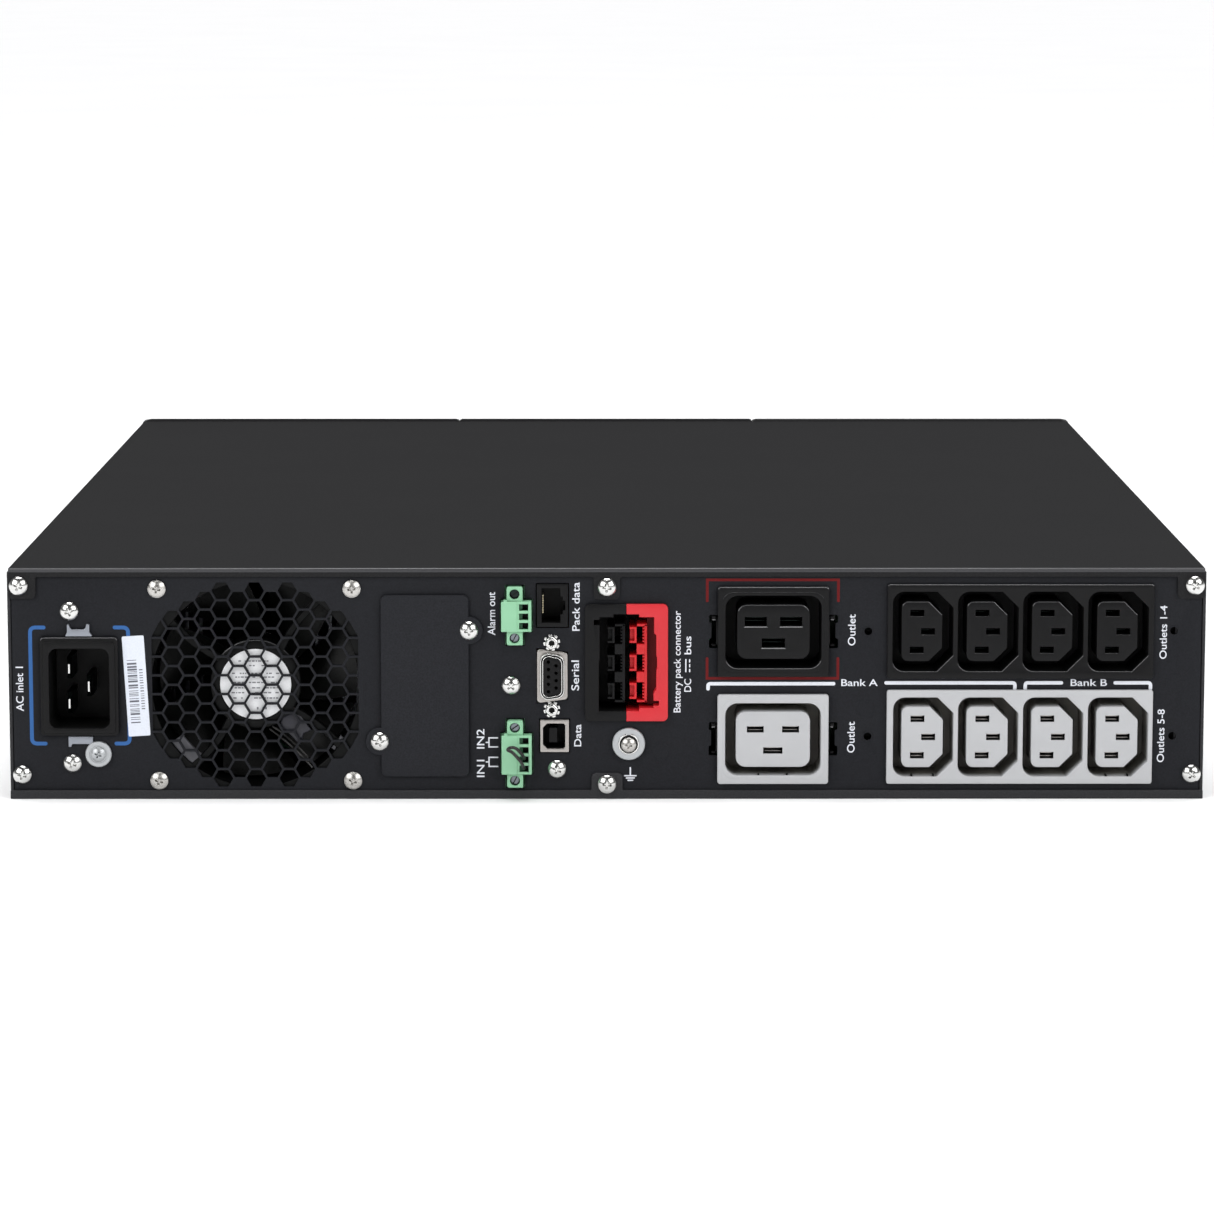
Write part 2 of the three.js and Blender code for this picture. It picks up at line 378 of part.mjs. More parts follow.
// ---------------------------------------------------------------- front of the case
{
  const vents = [];
  for (let i = 0; i < 12; i++) vents.push(rect(-208 + i * 10.6, -202 + i * 10.6, 14, 74));
  const front = [[-218.4, 1.6], [71, 1.6], [71, 81.4], [215.6, 81.4], [215.6, 1.6], [218.4, 1.6], [218.4, 84.4], [-218.4, 84.4]];
  add("front_panel", plate(front, 498.5, 499.7, [...vents, rect(-25, 25, 22, 66)]), COATED);
}
// Bezel: three shells, open at the back, with 2.5 mm walls. The top slopes down to the front face and
// the upper outer corners are sloped; at the seams the top corners have small chamfers.
const along = (pts, xa, xb) => solid(new THREE.ExtrudeGeometry(new THREE.Shape(pts.map(([y, z]) => new THREE.Vector2(y, z))), { depth: xb - xa, bevelEnabled: false }).rotateX(Math.PI / 2).rotateZ(Math.PI / 2).translate(xa, 0, 0));
const F = BEZEL_FRONT;
const shell = (xa, xb, faceOut) => {
  const outer = along([[BEZEL_BACK, 0.4], [F - 3, 0.4], [F, 3.4], [F, BEZEL_LOW - 3.6], [F - 2.2, BEZEL_LOW], [BEZEL_BACK + 0.6, BEZEL_TOP], [BEZEL_BACK, BEZEL_TOP]], xa, xb);
  const hollow = along([[BEZEL_BACK - 1, 3], [F - 4.2, 3], [F - 2.5, 4.7], [F - 2.5, BEZEL_LOW - 4.8], [F - 4, BEZEL_LOW - 2.6], [BEZEL_BACK - 1, BEZEL_TOP - 2.6]], xa + 2.5, xb - 2.5);
  return outer.intersect(plate(faceOut, BEZEL_BACK - 5, F + 5)).subtract(hollow);
};
const sideBezel = (s) => {
  const X = (x) => s * x;
  const order = (pts) => (s < 0 ? pts.reverse() : pts);
  const a = BEZEL_SEAM + 0.2, b = 220, t = BEZEL_TOP;
  let g = shell(Math.min(X(a), X(b)), Math.max(X(a), X(b)), order([[X(a), 0], [X(b - 3), 0], [X(b), 3], [X(b), t - 1.6], [X(b - 4.3), t + 0.1], [X(a + 1.2), t + 0.1], [X(a), t - 1.2]]));
  for (let i = 0; i < 14; i++) {
    const x = a + 12.5 + i * 9;
    g = g.subtract(plate(order([[X(x), 15], [X(x + 5), 12], [X(x + 5), 74], [X(x), 71]]), F - 4, F + 1));
  }
  return g;
};
add("bezel_left", sideBezel(-1), BEZEL);
add("bezel_right", sideBezel(1), BEZEL);
const BUTTONS = { escape: [30, 57], up: [50, 57], down: [30, 35], enter: [50, 35] };
{
  const a = BEZEL_SEAM - 0.2;
  let c = shell(-a, a, [[-a, 0], [a, 0], [a, BEZEL_TOP - 1.2], [a - 1.2, BEZEL_TOP + 0.1], [-a + 1.2, BEZEL_TOP + 0.1], [-a, BEZEL_TOP - 1.2]]);
  c = c.subtract(plate(rounded(-52.3, 15.3, 23.7, 66.3, 2.3, 2), BEZEL_FRONT - 4, BEZEL_FRONT + 1)); // display window
  for (const [x, z] of Object.values(BUTTONS)) c = c.subtract(rod(x, z, 6.0, BEZEL_FRONT - 4, BEZEL_FRONT + 1, 20));
  add("bezel_center", c, BEZEL);
  add("display_window", all([plate(rounded(-52, 15, 24, 66, 2, 2), BEZEL_FRONT - 2.2, BEZEL_FRONT - 0.3), box(-48, 11, BEZEL_FRONT - 9, BEZEL_FRONT - 2, 27, 63)]), GLASS);
  for (const [k, [x, z]] of Object.entries(BUTTONS)) add("button_" + k, all([rod(x, z, 5.7, BEZEL_FRONT - 4, BEZEL_FRONT + 1.2, 20), rod(x, z, 7, BEZEL_FRONT - 4.2, BEZEL_FRONT - 2.8, 20)]), RUBBER);
}

// ---------------------------------------------------------------- origin: centre of the footprint, on the ground
{
  const b = new THREE.Box3();
  for (const m of meshes) {
    m.geometry.computeBoundingBox();
    b.union(m.geometry.boundingBox);
  }
  unit.position.set(-(b.min.x + b.max.x) / 2, -(b.min.y + b.max.y) / 2, -b.min.z);
}
export default unit;
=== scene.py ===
# Looks of a two-unit rack/tower uninterruptible power supply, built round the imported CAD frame.
# Lengths are in millimetres in the design frame (y = 0 is the outer face of the rear panel, z = 0 the
# underside) and are turned into metres in the row's frame by Piece.done().
import bpy, bmesh, math, random
from mathutils import Matrix, Vector
from mathutils.geometry import delaunay_2d_cdt

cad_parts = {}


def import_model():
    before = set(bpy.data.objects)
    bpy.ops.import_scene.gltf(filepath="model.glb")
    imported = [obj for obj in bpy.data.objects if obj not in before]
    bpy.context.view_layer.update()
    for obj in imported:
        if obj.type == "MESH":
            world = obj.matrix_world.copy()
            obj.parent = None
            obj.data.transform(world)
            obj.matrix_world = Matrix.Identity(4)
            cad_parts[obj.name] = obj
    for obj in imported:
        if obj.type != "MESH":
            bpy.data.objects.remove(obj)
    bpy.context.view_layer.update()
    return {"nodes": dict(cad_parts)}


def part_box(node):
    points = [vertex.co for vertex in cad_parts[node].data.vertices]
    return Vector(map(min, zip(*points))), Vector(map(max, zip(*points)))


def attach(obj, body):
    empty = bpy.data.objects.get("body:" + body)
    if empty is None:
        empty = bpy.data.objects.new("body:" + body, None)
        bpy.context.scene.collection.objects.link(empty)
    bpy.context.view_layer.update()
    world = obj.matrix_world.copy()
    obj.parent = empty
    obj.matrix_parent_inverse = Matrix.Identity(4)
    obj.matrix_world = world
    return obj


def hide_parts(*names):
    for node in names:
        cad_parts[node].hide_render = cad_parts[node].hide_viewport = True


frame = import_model()
scene = bpy.context.scene
Y0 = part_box("rear_panel")[0].y  # the outer face of the rear panel, in the row's frame
NODES = frame["nodes"]

# ------------------------------------------------------------------ dimensions shared with the CAD model
DEPTH = 500.0
BEZEL_BACK, BEZEL_FRONT, BEZEL_TOP, BEZEL_LOW, BEZEL_SEAM = 500.5, 526.0, 87.2, 83.6, 69.6
FAN_X, FAN_Z, FAN_SIDE, FAN_HOLES = -129.3, 42.5, 80.0, 71.5
HEX_PITCH, HEX_AF = 7.0, 6.15
INLET_X, INLET_Z = -193.85, 42.1
COVER_SCREWS = [(-215.6, 79.5), (0.1, 78.9), (215.7, 79.6)]
BASE_SCREWS = [(-215.5, 9.0), (0.1, 5.6), (215.7, 9.2)]
SLOT_SCREWS = [(-50.6, 62.9), (-83.6, 21.6)]
SMALL_SCREWS = {"inlet_screw_upper": (-197.3, 69.9), "inlet_screw_lower": (-197.0, 13.3), "port_screw_upper": (-35.2, 42.3), "port_screw_lower": (-18.3, 11.0)}
JACKSCREWS = [(-20.2, 58.3), (-20.2, 33.4)]
SERIAL_X, SERIAL_Z = -20.0, 45.85
C19_X, C19_Z = 61.2, {"black": 62.4, "grey": 22.4}
C13_X, C13_Z, BANK_X = [116.5, 140.4, 164.3, 188.2], {"black": 62.5, "grey": 23.2}, 152.35
TERMINAL_X, RELAY_Z, SIGNAL_Z, TERMINAL_PITCH = -33.2, 68.4, 17.0, 3.44


# ------------------------------------------------------------------ materials
def lin(c):
    return tuple(((v / 255 + 0.055) / 1.055) ** 2.4 if v / 255 > 0.04045 else v / 255 / 12.92 for v in c)


class Mat:
    """A principled material built from nodes, in object coordinates."""

    def __init__(self, name, rgb, rough, metal=0.0, **sockets):
        self.m = bpy.data.materials.new(name)
        self.m.use_nodes = True
        self.t = self.m.node_tree
        self.b = self.t.nodes["Principled BSDF"]
        self.rgb = lin(rgb)
        self.b.inputs["Base Color"].default_value = (*self.rgb, 1)
        self.b.inputs["Roughness"].default_value = rough
        self.b.inputs["Metallic"].default_value = metal
        for k, v in sockets.items():
            self.b.inputs[k.replace("_", " ")].default_value = v
        self.co = self.t.nodes.new("ShaderNodeTexCoord").outputs["Object"]
        self.m.diffuse_color = (*self.rgb, 1)

    def link(self, a, b):
        self.t.links.new(a, b)

    def noise(self, scale, detail=2.0, rough=0.5, stretch=None, kind="NOISE"):
        co = self.co
        if stretch:
            mp = self.t.nodes.new("ShaderNodeMapping")
            mp.inputs["Scale"].default_value = stretch
            self.link(co, mp.inputs["Vector"])
            co = mp.outputs["Vector"]
        if kind == "VORONOI":
            n = self.t.nodes.new("ShaderNodeTexVoronoi")
            n.inputs["Scale"].default_value = scale
            self.link(co, n.inputs["Vector"])
            return n.outputs["Distance"]
        n = self.t.nodes.new("ShaderNodeTexNoise")
        n.inputs["Scale"].default_value = scale
        n.inputs["Detail"].default_value = detail
        n.inputs["Roughness"].default_value = rough
        self.link(co, n.inputs["Vector"])
        return n.outputs["Fac"]

    def span(self, fac, a, b, lo=0.3, hi=0.7):
        r = self.t.nodes.new("ShaderNodeMapRange")
        r.inputs["From Min"].default_value, r.inputs["From Max"].default_value = lo, hi
        r.inputs["To Min"].default_value, r.inputs["To Max"].default_value = a, b
        self.link(fac, r.inputs["Value"])
        return r.outputs["Result"]

    def tint(self, fac, dark, light, lo=0.3, hi=0.7):
        """The base colour runs between dark and light times itself."""
        r = self.t.nodes.new("ShaderNodeValToRGB")
        r.color_ramp.elements[0].position, r.color_ramp.elements[1].position = lo, hi
        r.color_ramp.elements[0].color = (*[min(1, c * dark) for c in self.rgb], 1)
        r.color_ramp.elements[1].color = (*[min(1, c * light) for c in self.rgb], 1)
        self.link(fac, r.inputs["Fac"])
        self.link(r.outputs["Color"], self.b.inputs["Base Color"])
        return self

    def rough(self, fac, a, b, lo=0.3, hi=0.7):
        self.link(self.span(fac, a, b, lo, hi), self.b.inputs["Roughness"])
        return self

    def bump(self, *layers):
        """Each layer is (height output, distance in metres, strength)."""
        last = None
        for fac, dist, strength in layers:
            n = self.t.nodes.new("ShaderNodeBump")
            n.inputs["Distance"].default_value = dist
            n.inputs["Strength"].default_value = strength
            self.link(fac, n.inputs["Height"])
            if last:
                self.link(last, n.inputs["Normal"])
            last = n.outputs["Normal"]
        self.link(last, self.b.inputs["Normal"])
        return self


def powder(name, rgb, rough=0.5, grain=1.0, spec=0.5):
    """Fine-texture powder coat: small rounded grains over a slow orange peel."""
    m = Mat(name, rgb, rough, Specular_IOR_Level=spec)
    fine, peel, slow = m.noise(1500 * grain, 3, 0.6), m.noise(420 * grain, 2, 0.5), m.noise(14, 2, 0.5)
    m.tint(fine, 0.82, 1.2, 0.35, 0.66)
    m.rough(slow, rough - 0.015, rough + 0.015)
    m.bump((fine, 0.00006, 0.5), (peel, 0.00012, 0.3))
    return m.m


def moulded(name, rgb, rough=0.42, spec=0.5, vary=0.06):
    """Injection-moulded plastic: spark-eroded fine grain, faint flow variation."""
    m = Mat(name, rgb, rough, Specular_IOR_Level=spec)
    fine, flow = m.noise(3200, 2, 0.5), m.noise(60, 3, 0.55)
    m.tint(flow, 1 - vary, 1 + vary)
    m.rough(fine, rough - 0.05, rough + 0.07)
    m.bump((fine, 0.00003, 0.35))
    return m.m


def plated(name, rgb, rough=0.22, vary=0.1, scale=900):
    """Plated steel: small hazy patches and fine wear marks."""
    m = Mat(name, rgb, rough, 1.0)
    patch, fine = m.noise(scale, 3, 0.6), m.noise(4200, 2, 0.5)
    m.tint(patch, 1 - vary, 1 + vary * 0.5)
    m.rough(patch, max(0.05, rough - 0.07), rough + 0.1)
    m.bump((fine, 0.00002, 0.25))
    return m.m


def recess_shade_ramp(name, near, far, y0, y1, rough=0.5):
    """A moulded wall whose colour darkens from the mouth of a recess inwards: painted shade (depths in mm)."""
    m = Mat(name, near, rough, Specular_IOR_Level=0.3)
    sp = m.t.nodes.new("ShaderNodeSeparateXYZ")
    m.link(m.co, sp.inputs["Vector"])
    depth = m.span(sp.outputs["Y"], 0.0, 1.0, Y0 + y0 / 1000, Y0 + y1 / 1000)
    r = m.t.nodes.new("ShaderNodeValToRGB")
    r.color_ramp.elements[0].position, r.color_ramp.elements[1].position = 0.0, 1.0
    r.color_ramp.elements[0].color, r.color_ramp.elements[1].color = (*lin(near), 1), (*lin(far), 1)
    m.link(depth, r.inputs["Fac"])
    m.link(r.outputs["Color"], m.b.inputs["Base Color"])
    m.bump((m.noise(3200, 2, 0.5), 0.00003, 0.35))
    return m.m


M = {
    "coat": powder("powder_coat_charcoal", (36, 36, 37), 0.85, 1.0, 0.06),
    # the cover's rear bend: a glossier coat, and a lighter colour that is a painted highlight
    "coat_highlight": powder("powder_coat_bend_highlight", (46, 46, 49), 0.36, 1.0, 0.5),
    "coat_base": powder("powder_coat_base", (46, 46, 48), 0.6, 1.0, 0.15),
    "coat_plate": powder("powder_coat_cover_plate", (30, 31, 35), 0.62, 1.1, 0.15),
    "panel": powder("powder_coat_blue_black", (24, 25, 29), 0.55, 1.2, 0.15),
    "black": moulded("nylon_black", (14, 14, 15), 0.36, 0.16),
    # a lighter copy of the black for up-facing rounded edges: painted highlight
    "black_highlight": moulded("nylon_black_painted_highlight", (58, 58, 60), 0.25, 1.0),
    # a light grey on black for slot edges and clip tips: painted glint
    "black_glint": moulded("nylon_black_painted_glint", (112, 112, 114), 0.25, 1.0),
    # a darker copy of the black for recesses, holes and backs: painted shade
    "black_shade": moulded("nylon_black_painted_shade", (6, 6, 6), 0.55, 0.25),
    "grey": moulded("nylon_light_grey", (175, 176, 178), 0.42, 0.3, 0.02),
    # the grey wells' walls, darkening with depth: painted shade
    "shaded_grey_wall": recess_shade_ramp("nylon_grey_painted_shade", (168, 169, 170), (134, 131, 125), 1.0, 6.0),
    # a darker grey for the backs of grey housings: painted shade
    "grey_shade": moulded("housing_grey_painted_shade", (134, 131, 125), 0.6, 0.3),
    "green": moulded("terminal_green", (135, 186, 150), 0.42, 0.3, 0.04),
    # a darker copy of the green for the terminals' recesses: painted shade
    "green_shade": moulded("terminal_green_painted_shade", (44, 84, 60), 0.5, 0.3),
    "red": moulded("housing_red", (196, 34, 43), 0.4, 0.42, 0.05),
    "red_deep": moulded("housing_red_inner", (196, 20, 30), 0.5, 0.4),
    # a dark maroon for the depth of the red half: painted shade
    "red_shade": moulded("housing_red_painted_shade", (82, 8, 12), 0.6, 0.2),
    "red_block": moulded("housing_red_block", (196, 22, 30), 0.4, 0.42),
    "screw": plated("nickel_screw", (212, 212, 210), 0.17, 0.08),
    "dull": plated("dull_nickel_screw", (190, 188, 184), 0.3, 0.1),
    "zinc": plated("zinc_washer", (182, 185, 187), 0.42, 0.08, 500),
    "tin": plated("tinned_shell", (170, 166, 162), 0.34, 0.12, 700),
    "clip": plated("clip_zinc", (150, 154, 162), 0.5, 0.08, 300),
    # a dark steel; on the inlet blades behind the tip and on contacts in black housings it paints shade
    "steel_dark": plated("dark_steel", (44, 52, 50), 0.35),
    "gold": plated("contact_gold", (236, 222, 186), 0.25),
    "bezel": moulded("bezel_black", (24, 24, 26), 0.45),
    "white_ink": Mat("ink_white", (214, 217, 224), 0.55).m,
    "blue_ink": Mat("ink_blue", (28, 86, 148), 0.6).m,
    "red_ink": Mat("ink_dark_red", (96, 14, 16), 0.7, Specular_IOR_Level=0.2).m,
    "sticker": Mat("sticker_paper", (213, 218, 228), 0.5).m,
    "print": Mat("sticker_print", (88, 90, 98), 0.6).m,
    "label": Mat("hub_label", (228, 229, 231), 0.32, 0.0).m,
    "label_print": Mat("hub_label_print", (120, 122, 126), 0.5).m,
    "fan": moulded("fan_black", (10, 11, 11), 0.42, 0.12),
    "blade": moulded("fan_blade", (8, 9, 8), 0.32, 0.16),
    "sleeve": moulded("sleeve_pale", (92, 92, 97), 0.5, 0.3, 0.12),
    "sleeve_dark": moulded("sleeve_dark", (34, 34, 42), 0.35, 0.4, 0.15),
    "wire": moulded("wire_black", (20, 19, 18), 0.28, 0.5),
    "rubber": moulded("rubber_black", (26, 26, 27), 0.62),
}
for k in ("white_ink", "blue_ink", "red_ink", "sticker", "print", "label", "label_print"):
    # screen-printed ink and paper: slightly uneven cover
    mt = M[k]
    t, b = mt.node_tree, mt.node_tree.nodes["Principled BSDF"]
    co = [n for n in t.nodes if n.type == "TEX_COORD"][0].outputs["Object"]
    n = t.nodes.new("ShaderNodeTexNoise")
    n.inputs["Scale"].default_value, n.inputs["Detail"].default_value = 1800, 2
    t.links.new(co, n.inputs["Vector"])
    r = t.nodes.new("ShaderNodeValToRGB")
    c = b.inputs["Base Color"].default_value[:3]
    r.color_ramp.elements[0].position, r.color_ramp.elements[1].position = 0.3, 0.6
    r.color_ramp.elements[0].color, r.color_ramp.elements[1].color = (*[v * 0.93 for v in c], 1), (*c, 1)
    t.links.new(n.outputs["Fac"], r.inputs["Fac"])
    t.links.new(r.outputs["Color"], b.inputs["Base Color"])
    bp = t.nodes.new("ShaderNodeBump")
    bp.inputs["Distance"].default_value, bp.inputs["Strength"].default_value = 0.00002, 0.3
    t.links.new(n.outputs["Fac"], bp.inputs["Height"])
    t.links.new(bp.outputs["Normal"], b.inputs["Normal"])


# ------------------------------------------------------------------ outlines (x, z)
def area(p):
    return sum(p[i][0] * p[(i + 1) % len(p)][1] - p[(i + 1) % len(p)][0] * p[i][1] for i in range(len(p))) / 2


def ccw(p):
    return list(p) if area(p) > 0 else list(reversed(p))


def offset(p, d, keep=None):
    """A closed counter-clockwise outline moved outwards by d (inwards when d is negative)."""
    if abs(d) < 1e-9:
        return list(p)
    out, n = [], len(p)
    for i in range(n):
        a, b, c = Vector(p[i - 1]), Vector(p[i]), Vector(p[(i + 1) % n])
        e, f = (b - a).normalized(), (c - b).normalized()
        n1, n2 = Vector((e.y, -e.x)), Vector((f.y, -f.x))
        s = n1 + n2
        s = s / max(s.length_squared / 2, 0.2) if s.length > 1e-6 else n1
        q = b + s * d
        if keep and keep(p[i]):
            q.y = p[i][1]
        out.append((q.x, q.y))
    return out


def rect(x0, x1, z0, z1):
    return [(x0, z0), (x1, z0), (x1, z1), (x0, z1)]


def arc_corners(pts, radii, n=6):
    """A counter-clockwise polygon with each corner rounded by its own radius."""
    out, m = [], len(pts)
    for i in range(m):
        r = radii[i] if isinstance(radii, (list, tuple)) else radii
        a, b, c = Vector(pts[i - 1]), Vector(pts[i]), Vector(pts[(i + 1) % m])
        if r <= 0:
            out.append((b.x, b.y))
            continue
        e, f = (a - b).normalized(), (c - b).normalized()
        ang = e.angle(f)
        if ang > math.pi - 0.02:
            out.append((b.x, b.y))
            continue
        t = min(r / math.tan(ang / 2), 0.49 * (a - b).length, 0.49 * (c - b).length)
        rr = t * math.tan(ang / 2)
        centre = b + (e + f).normalized() * (rr / math.sin(ang / 2))
        p0, p1 = b + e * t, b + f * t
        a0, a1 = math.atan2(*(p0 - centre).yx), math.atan2(*(p1 - centre).yx)
        d = (a1 - a0 + math.pi) % (2 * math.pi) - math.pi
        k = max(1, round(n * abs(d) / (math.pi / 2)))
        for j in range(k + 1):
            w = a0 + d * j / k
            out.append((centre.x + rr * math.cos(w), centre.y + rr * math.sin(w)))
    return out


def rounded(x0, x1, z0, z1, r, n=6):
    return arc_corners(rect(x0, x1, z0, z1), r, n)


def circle(x, z, r, n=32, turn=0.0):
    return [(x + r * math.cos(turn + 2 * math.pi * i / n), z + r * math.sin(turn + 2 * math.pi * i / n)) for i in range(n)]


def dee(x, z, w, h, cut, r, rc=0.5, n=5):
    x0, x1, z0, z1 = x - w / 2, x + w / 2, z - h / 2, z + h / 2
    return arc_corners([(x0, z0), (x1 - cut, z0), (x1, z0 + cut), (x1, z1 - cut), (x1 - cut, z1), (x0, z1)], [r, rc, rc, rc, rc, r], n)


def inside(p, loop):
    x, y, c = p[0], p[1], False
    for i in range(len(loop)):
        (x0, y0), (x1, y1) = loop[i - 1], loop[i]
        if (y0 > y) != (y1 > y) and x < (x1 - x0) * (y - y0) / (y1 - y0) + x0:
            c = not c
    return c


def cap_tris(outer, holes):
    """Triangles (as 2-D points) of a flat face with holes."""
    pts, edges, loops = [], [], [outer, *holes]
    for lp in loops:
        s = len(pts)
        pts += [Vector(p) for p in lp]
        edges += [(s + i, s + (i + 1) % len(lp)) for i in range(len(lp))]
    v, _, f, *_ = delaunay_2d_cdt(pts, edges, [], 0, 1e-6)
    out = []
    for t in f:
        c = (v[t[0]] + v[t[1]] + v[t[2]]) / 3
        if inside(c, outer) and not any(inside(c, h) for h in holes):
            out.append(t)
    return [tuple(p) for p in v], out


FRONT = lambda u, v, w: (u, w, v)  # outlines in x, z; extruded along y
SIDE = lambda u, v, w: (w, u, v)  # outlines in y, z; extruded along x
UP = lambda u, v, w: (u, v, w)  # outlines in x, y; extruded along z


class Piece:
    def __init__(self, name):
        self.name, self.v, self.f, self.mi, self.mats = name, [], [], [], []

    def mat(self, key):
        if key not in self.mats:
            self.mats.append(key)
        return self.mats.index(key)

    def add(self, verts, faces, key):
        s, k = len(self.v), self.mat(key)
        self.v += [tuple(p) for p in verts]
        self.f += [tuple(s + i for i in fc) for fc in faces]
        self.mi += [k] * len(faces)

    def rings(self, rings, key, close=(False, False)):
        """Quads between successive closed rings with equal point counts."""
        n = len(rings[0])
        verts = [p for r in rings for p in r]
        faces = []
        for k in range(len(rings) - 1):
            for i in range(n):
                j = (i + 1) % n
                faces.append((k * n + i, k * n + j, (k + 1) * n + j, (k + 1) * n + i))
        if close[0]:
            faces.append(tuple(range(n))[::-1])
        if close[1]:
            faces.append(tuple((len(rings) - 1) * n + i for i in range(n)))
        self.add(verts, faces, key)

    def plate(self, outer, w0, w1, key, holes=(), r=0.2, rh=None, rb=0.0, seg=3, to=FRONT, keep=None, wall=None, back=True, highlight_rim=None, glint=None):
        """A plate from w0 (its shown face) to w1, with rounded edges on the shown face and round its holes.
        wall = (depth, material) gives the walls of the holes another material beyond that depth, a darker one that
        paints shade there; a lighter edge material, where given, paints a highlight on the up-facing rounded edges."""
        sg = 1 if w1 > w0 else -1
        outer, holes = ccw(outer), [ccw(h) for h in holes]
        rh = r if rh is None else rh

        def prof(rr):
            return [(rr * (1 - math.cos(a)), w0 + sg * rr * (1 - math.sin(a))) for a in [math.pi / 2 * i / seg for i in range(seg + 1)]] if rr > 0 else [(0, w0)]

        def sweep(loop, rr, sign, rback):
            rows = []
            if rback > 0:
                rows += [(rback * (1 - math.cos(a)), w1 - sg * rback * (1 - math.sin(a))) for a in [math.pi / 2 * i / seg for i in range(seg, -1, -1)]]
            else:
                rows.append((0, w1))
            rows += prof(rr)
            return [[to(u, v, w) for u, v in offset(loop, -sign * d, keep)] for d, w in rows]

        def wrap(rows, rr, loop, sign, highlight_rim=highlight_rim):
            """The straight wall, then the rounded edge, in a lighter material where it faces up: a painted highlight.
            """
            k = len(rows) - 1 - seg if highlight_rim and rr > 0 else len(rows) - 1
            if k > 0:
                self.rings(rows[:k + 1], key)
            if k < len(rows) - 1:
                start, n, highlight_index = len(self.f), len(loop), self.mat(highlight_rim)
                self.rings(rows[k:], key)
                for j in range(start, len(self.f)):
                    a, b = loop[(j - start) % n], loop[(j - start + 1) % n]
                    if -sign * (b[0] - a[0]) > 0.35 * math.hypot(b[0] - a[0], b[1] - a[1]):
                        self.mi[j] = highlight_index

        wrap(sweep(outer, r, 1, rb), r, outer, 1)
        for h in holes:
            rr = sweep(h, rh, -1, 0)
            if wall:
                depth, wkey = wall
                mid = [to(u, v, w0 + sg * depth) for u, v in h]
                self.rings([rr[0], mid], wkey)
                wrap([mid, *rr[1:]], rh, h, -1, highlight_rim and glint or highlight_rim)
            else:
                wrap(rr, rh, h, -1)
        for at, d, dh in ((w0, r, rh), (w1, rb, 0)):
            if at == w1 and not back:
                continue
            v, t = cap_tris(offset(outer, -d, keep), [offset(h, dh) for h in holes])
            self.add([to(a, b, at) for a, b in v], t, key)

    def lathe(self, profile, x, z, key, n=32, axis="y", tilt=None):
        """profile: (radius, y) from the axis to the axis, turned about y through (x, z)."""
        rings = []
        for r, y in profile:
            rings.append([(x + max(r, 1e-5) * math.cos(2 * math.pi * i / n), y, z + max(r, 1e-5) * math.sin(2 * math.pi * i / n)) for i in range(n)])
        self.rings(rings, key, (True, True))

    def tube(self, pts, r, key, n=12, closed_ends=True, scale=None):
        """A round tube through points, with parallel-transported rings and flat caps on its ends."""
        pts = [Vector(p) for p in pts]
        rings, up = [], None
        for i, p in enumerate(pts):
            t = (pts[min(i + 1, len(pts) - 1)] - pts[max(i - 1, 0)]).normalized()
            if up is None:
                up = t.orthogonal().normalized()
            up = (up - t * up.dot(t)).normalized()
            s = t.cross(up)
            rr = r if scale is None else r * scale[i]
            rings.append([tuple(p + (up * math.cos(2 * math.pi * k / n) + s * math.sin(2 * math.pi * k / n)) * rr) for k in range(n)])
        self.rings(rings, key, (closed_ends, closed_ends))

    def box(self, x0, x1, y0, y1, z0, z1, key, r=0.15, seg=2):
        """A block with every edge rounded."""
        r = min(r, 0.49 * (x1 - x0), 0.49 * (y1 - y0), 0.49 * (z1 - z0))
        bm = bmesh.new()
        bmesh.ops.create_cube(bm, size=1)
        for v in bm.verts:
            v.co = Vector(((x0 + x1) / 2 + v.co.x * (x1 - x0), (y0 + y1) / 2 + v.co.y * (y1 - y0), (z0 + z1) / 2 + v.co.z * (z1 - z0)))
        if r > 0.01:
            bmesh.ops.bevel(bm, geom=bm.edges[:], offset=r, segments=seg, profile=0.5, affect="EDGES")
        bm.verts.index_update()
        self.add([v.co[:] for v in bm.verts], [[v.index for v in f.verts] for f in bm.faces], key)
        bm.free()

    def copy(self, verts, faces, key, move):
        self.add([tuple(move @ Vector(p)) for p in verts], faces, key)

    def done(self, body, slot, *replaces, angle=34, weld=1e-4):
        me = bpy.data.meshes.new(self.name)
        me.from_pydata([(x / 1000, Y0 + y / 1000, z / 1000) for x, y, z in self.v], [], self.f)
        for k in self.mats:
            me.materials.append(M[k])
        me.polygons.foreach_set("material_index", self.mi)
        bm = bmesh.new()
        bm.from_mesh(me)
        bmesh.ops.remove_doubles(bm, verts=bm.verts[:], dist=weld / 1000)
        bmesh.ops.dissolve_degenerate(bm, edges=bm.edges[:], dist=1e-7)
        bmesh.ops.recalc_face_normals(bm, faces=bm.faces[:])
        bm.to_mesh(me)
        bm.free()
        me.polygons.foreach_set("use_smooth", [True] * len(me.polygons))
        me.set_sharp_from_angle(angle=math.radians(angle))
        o = bpy.data.objects.new(self.name, me)
        scene.collection.objects.link(o)
        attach(o, body)
        if replaces:
            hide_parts(*replaces)
        return o


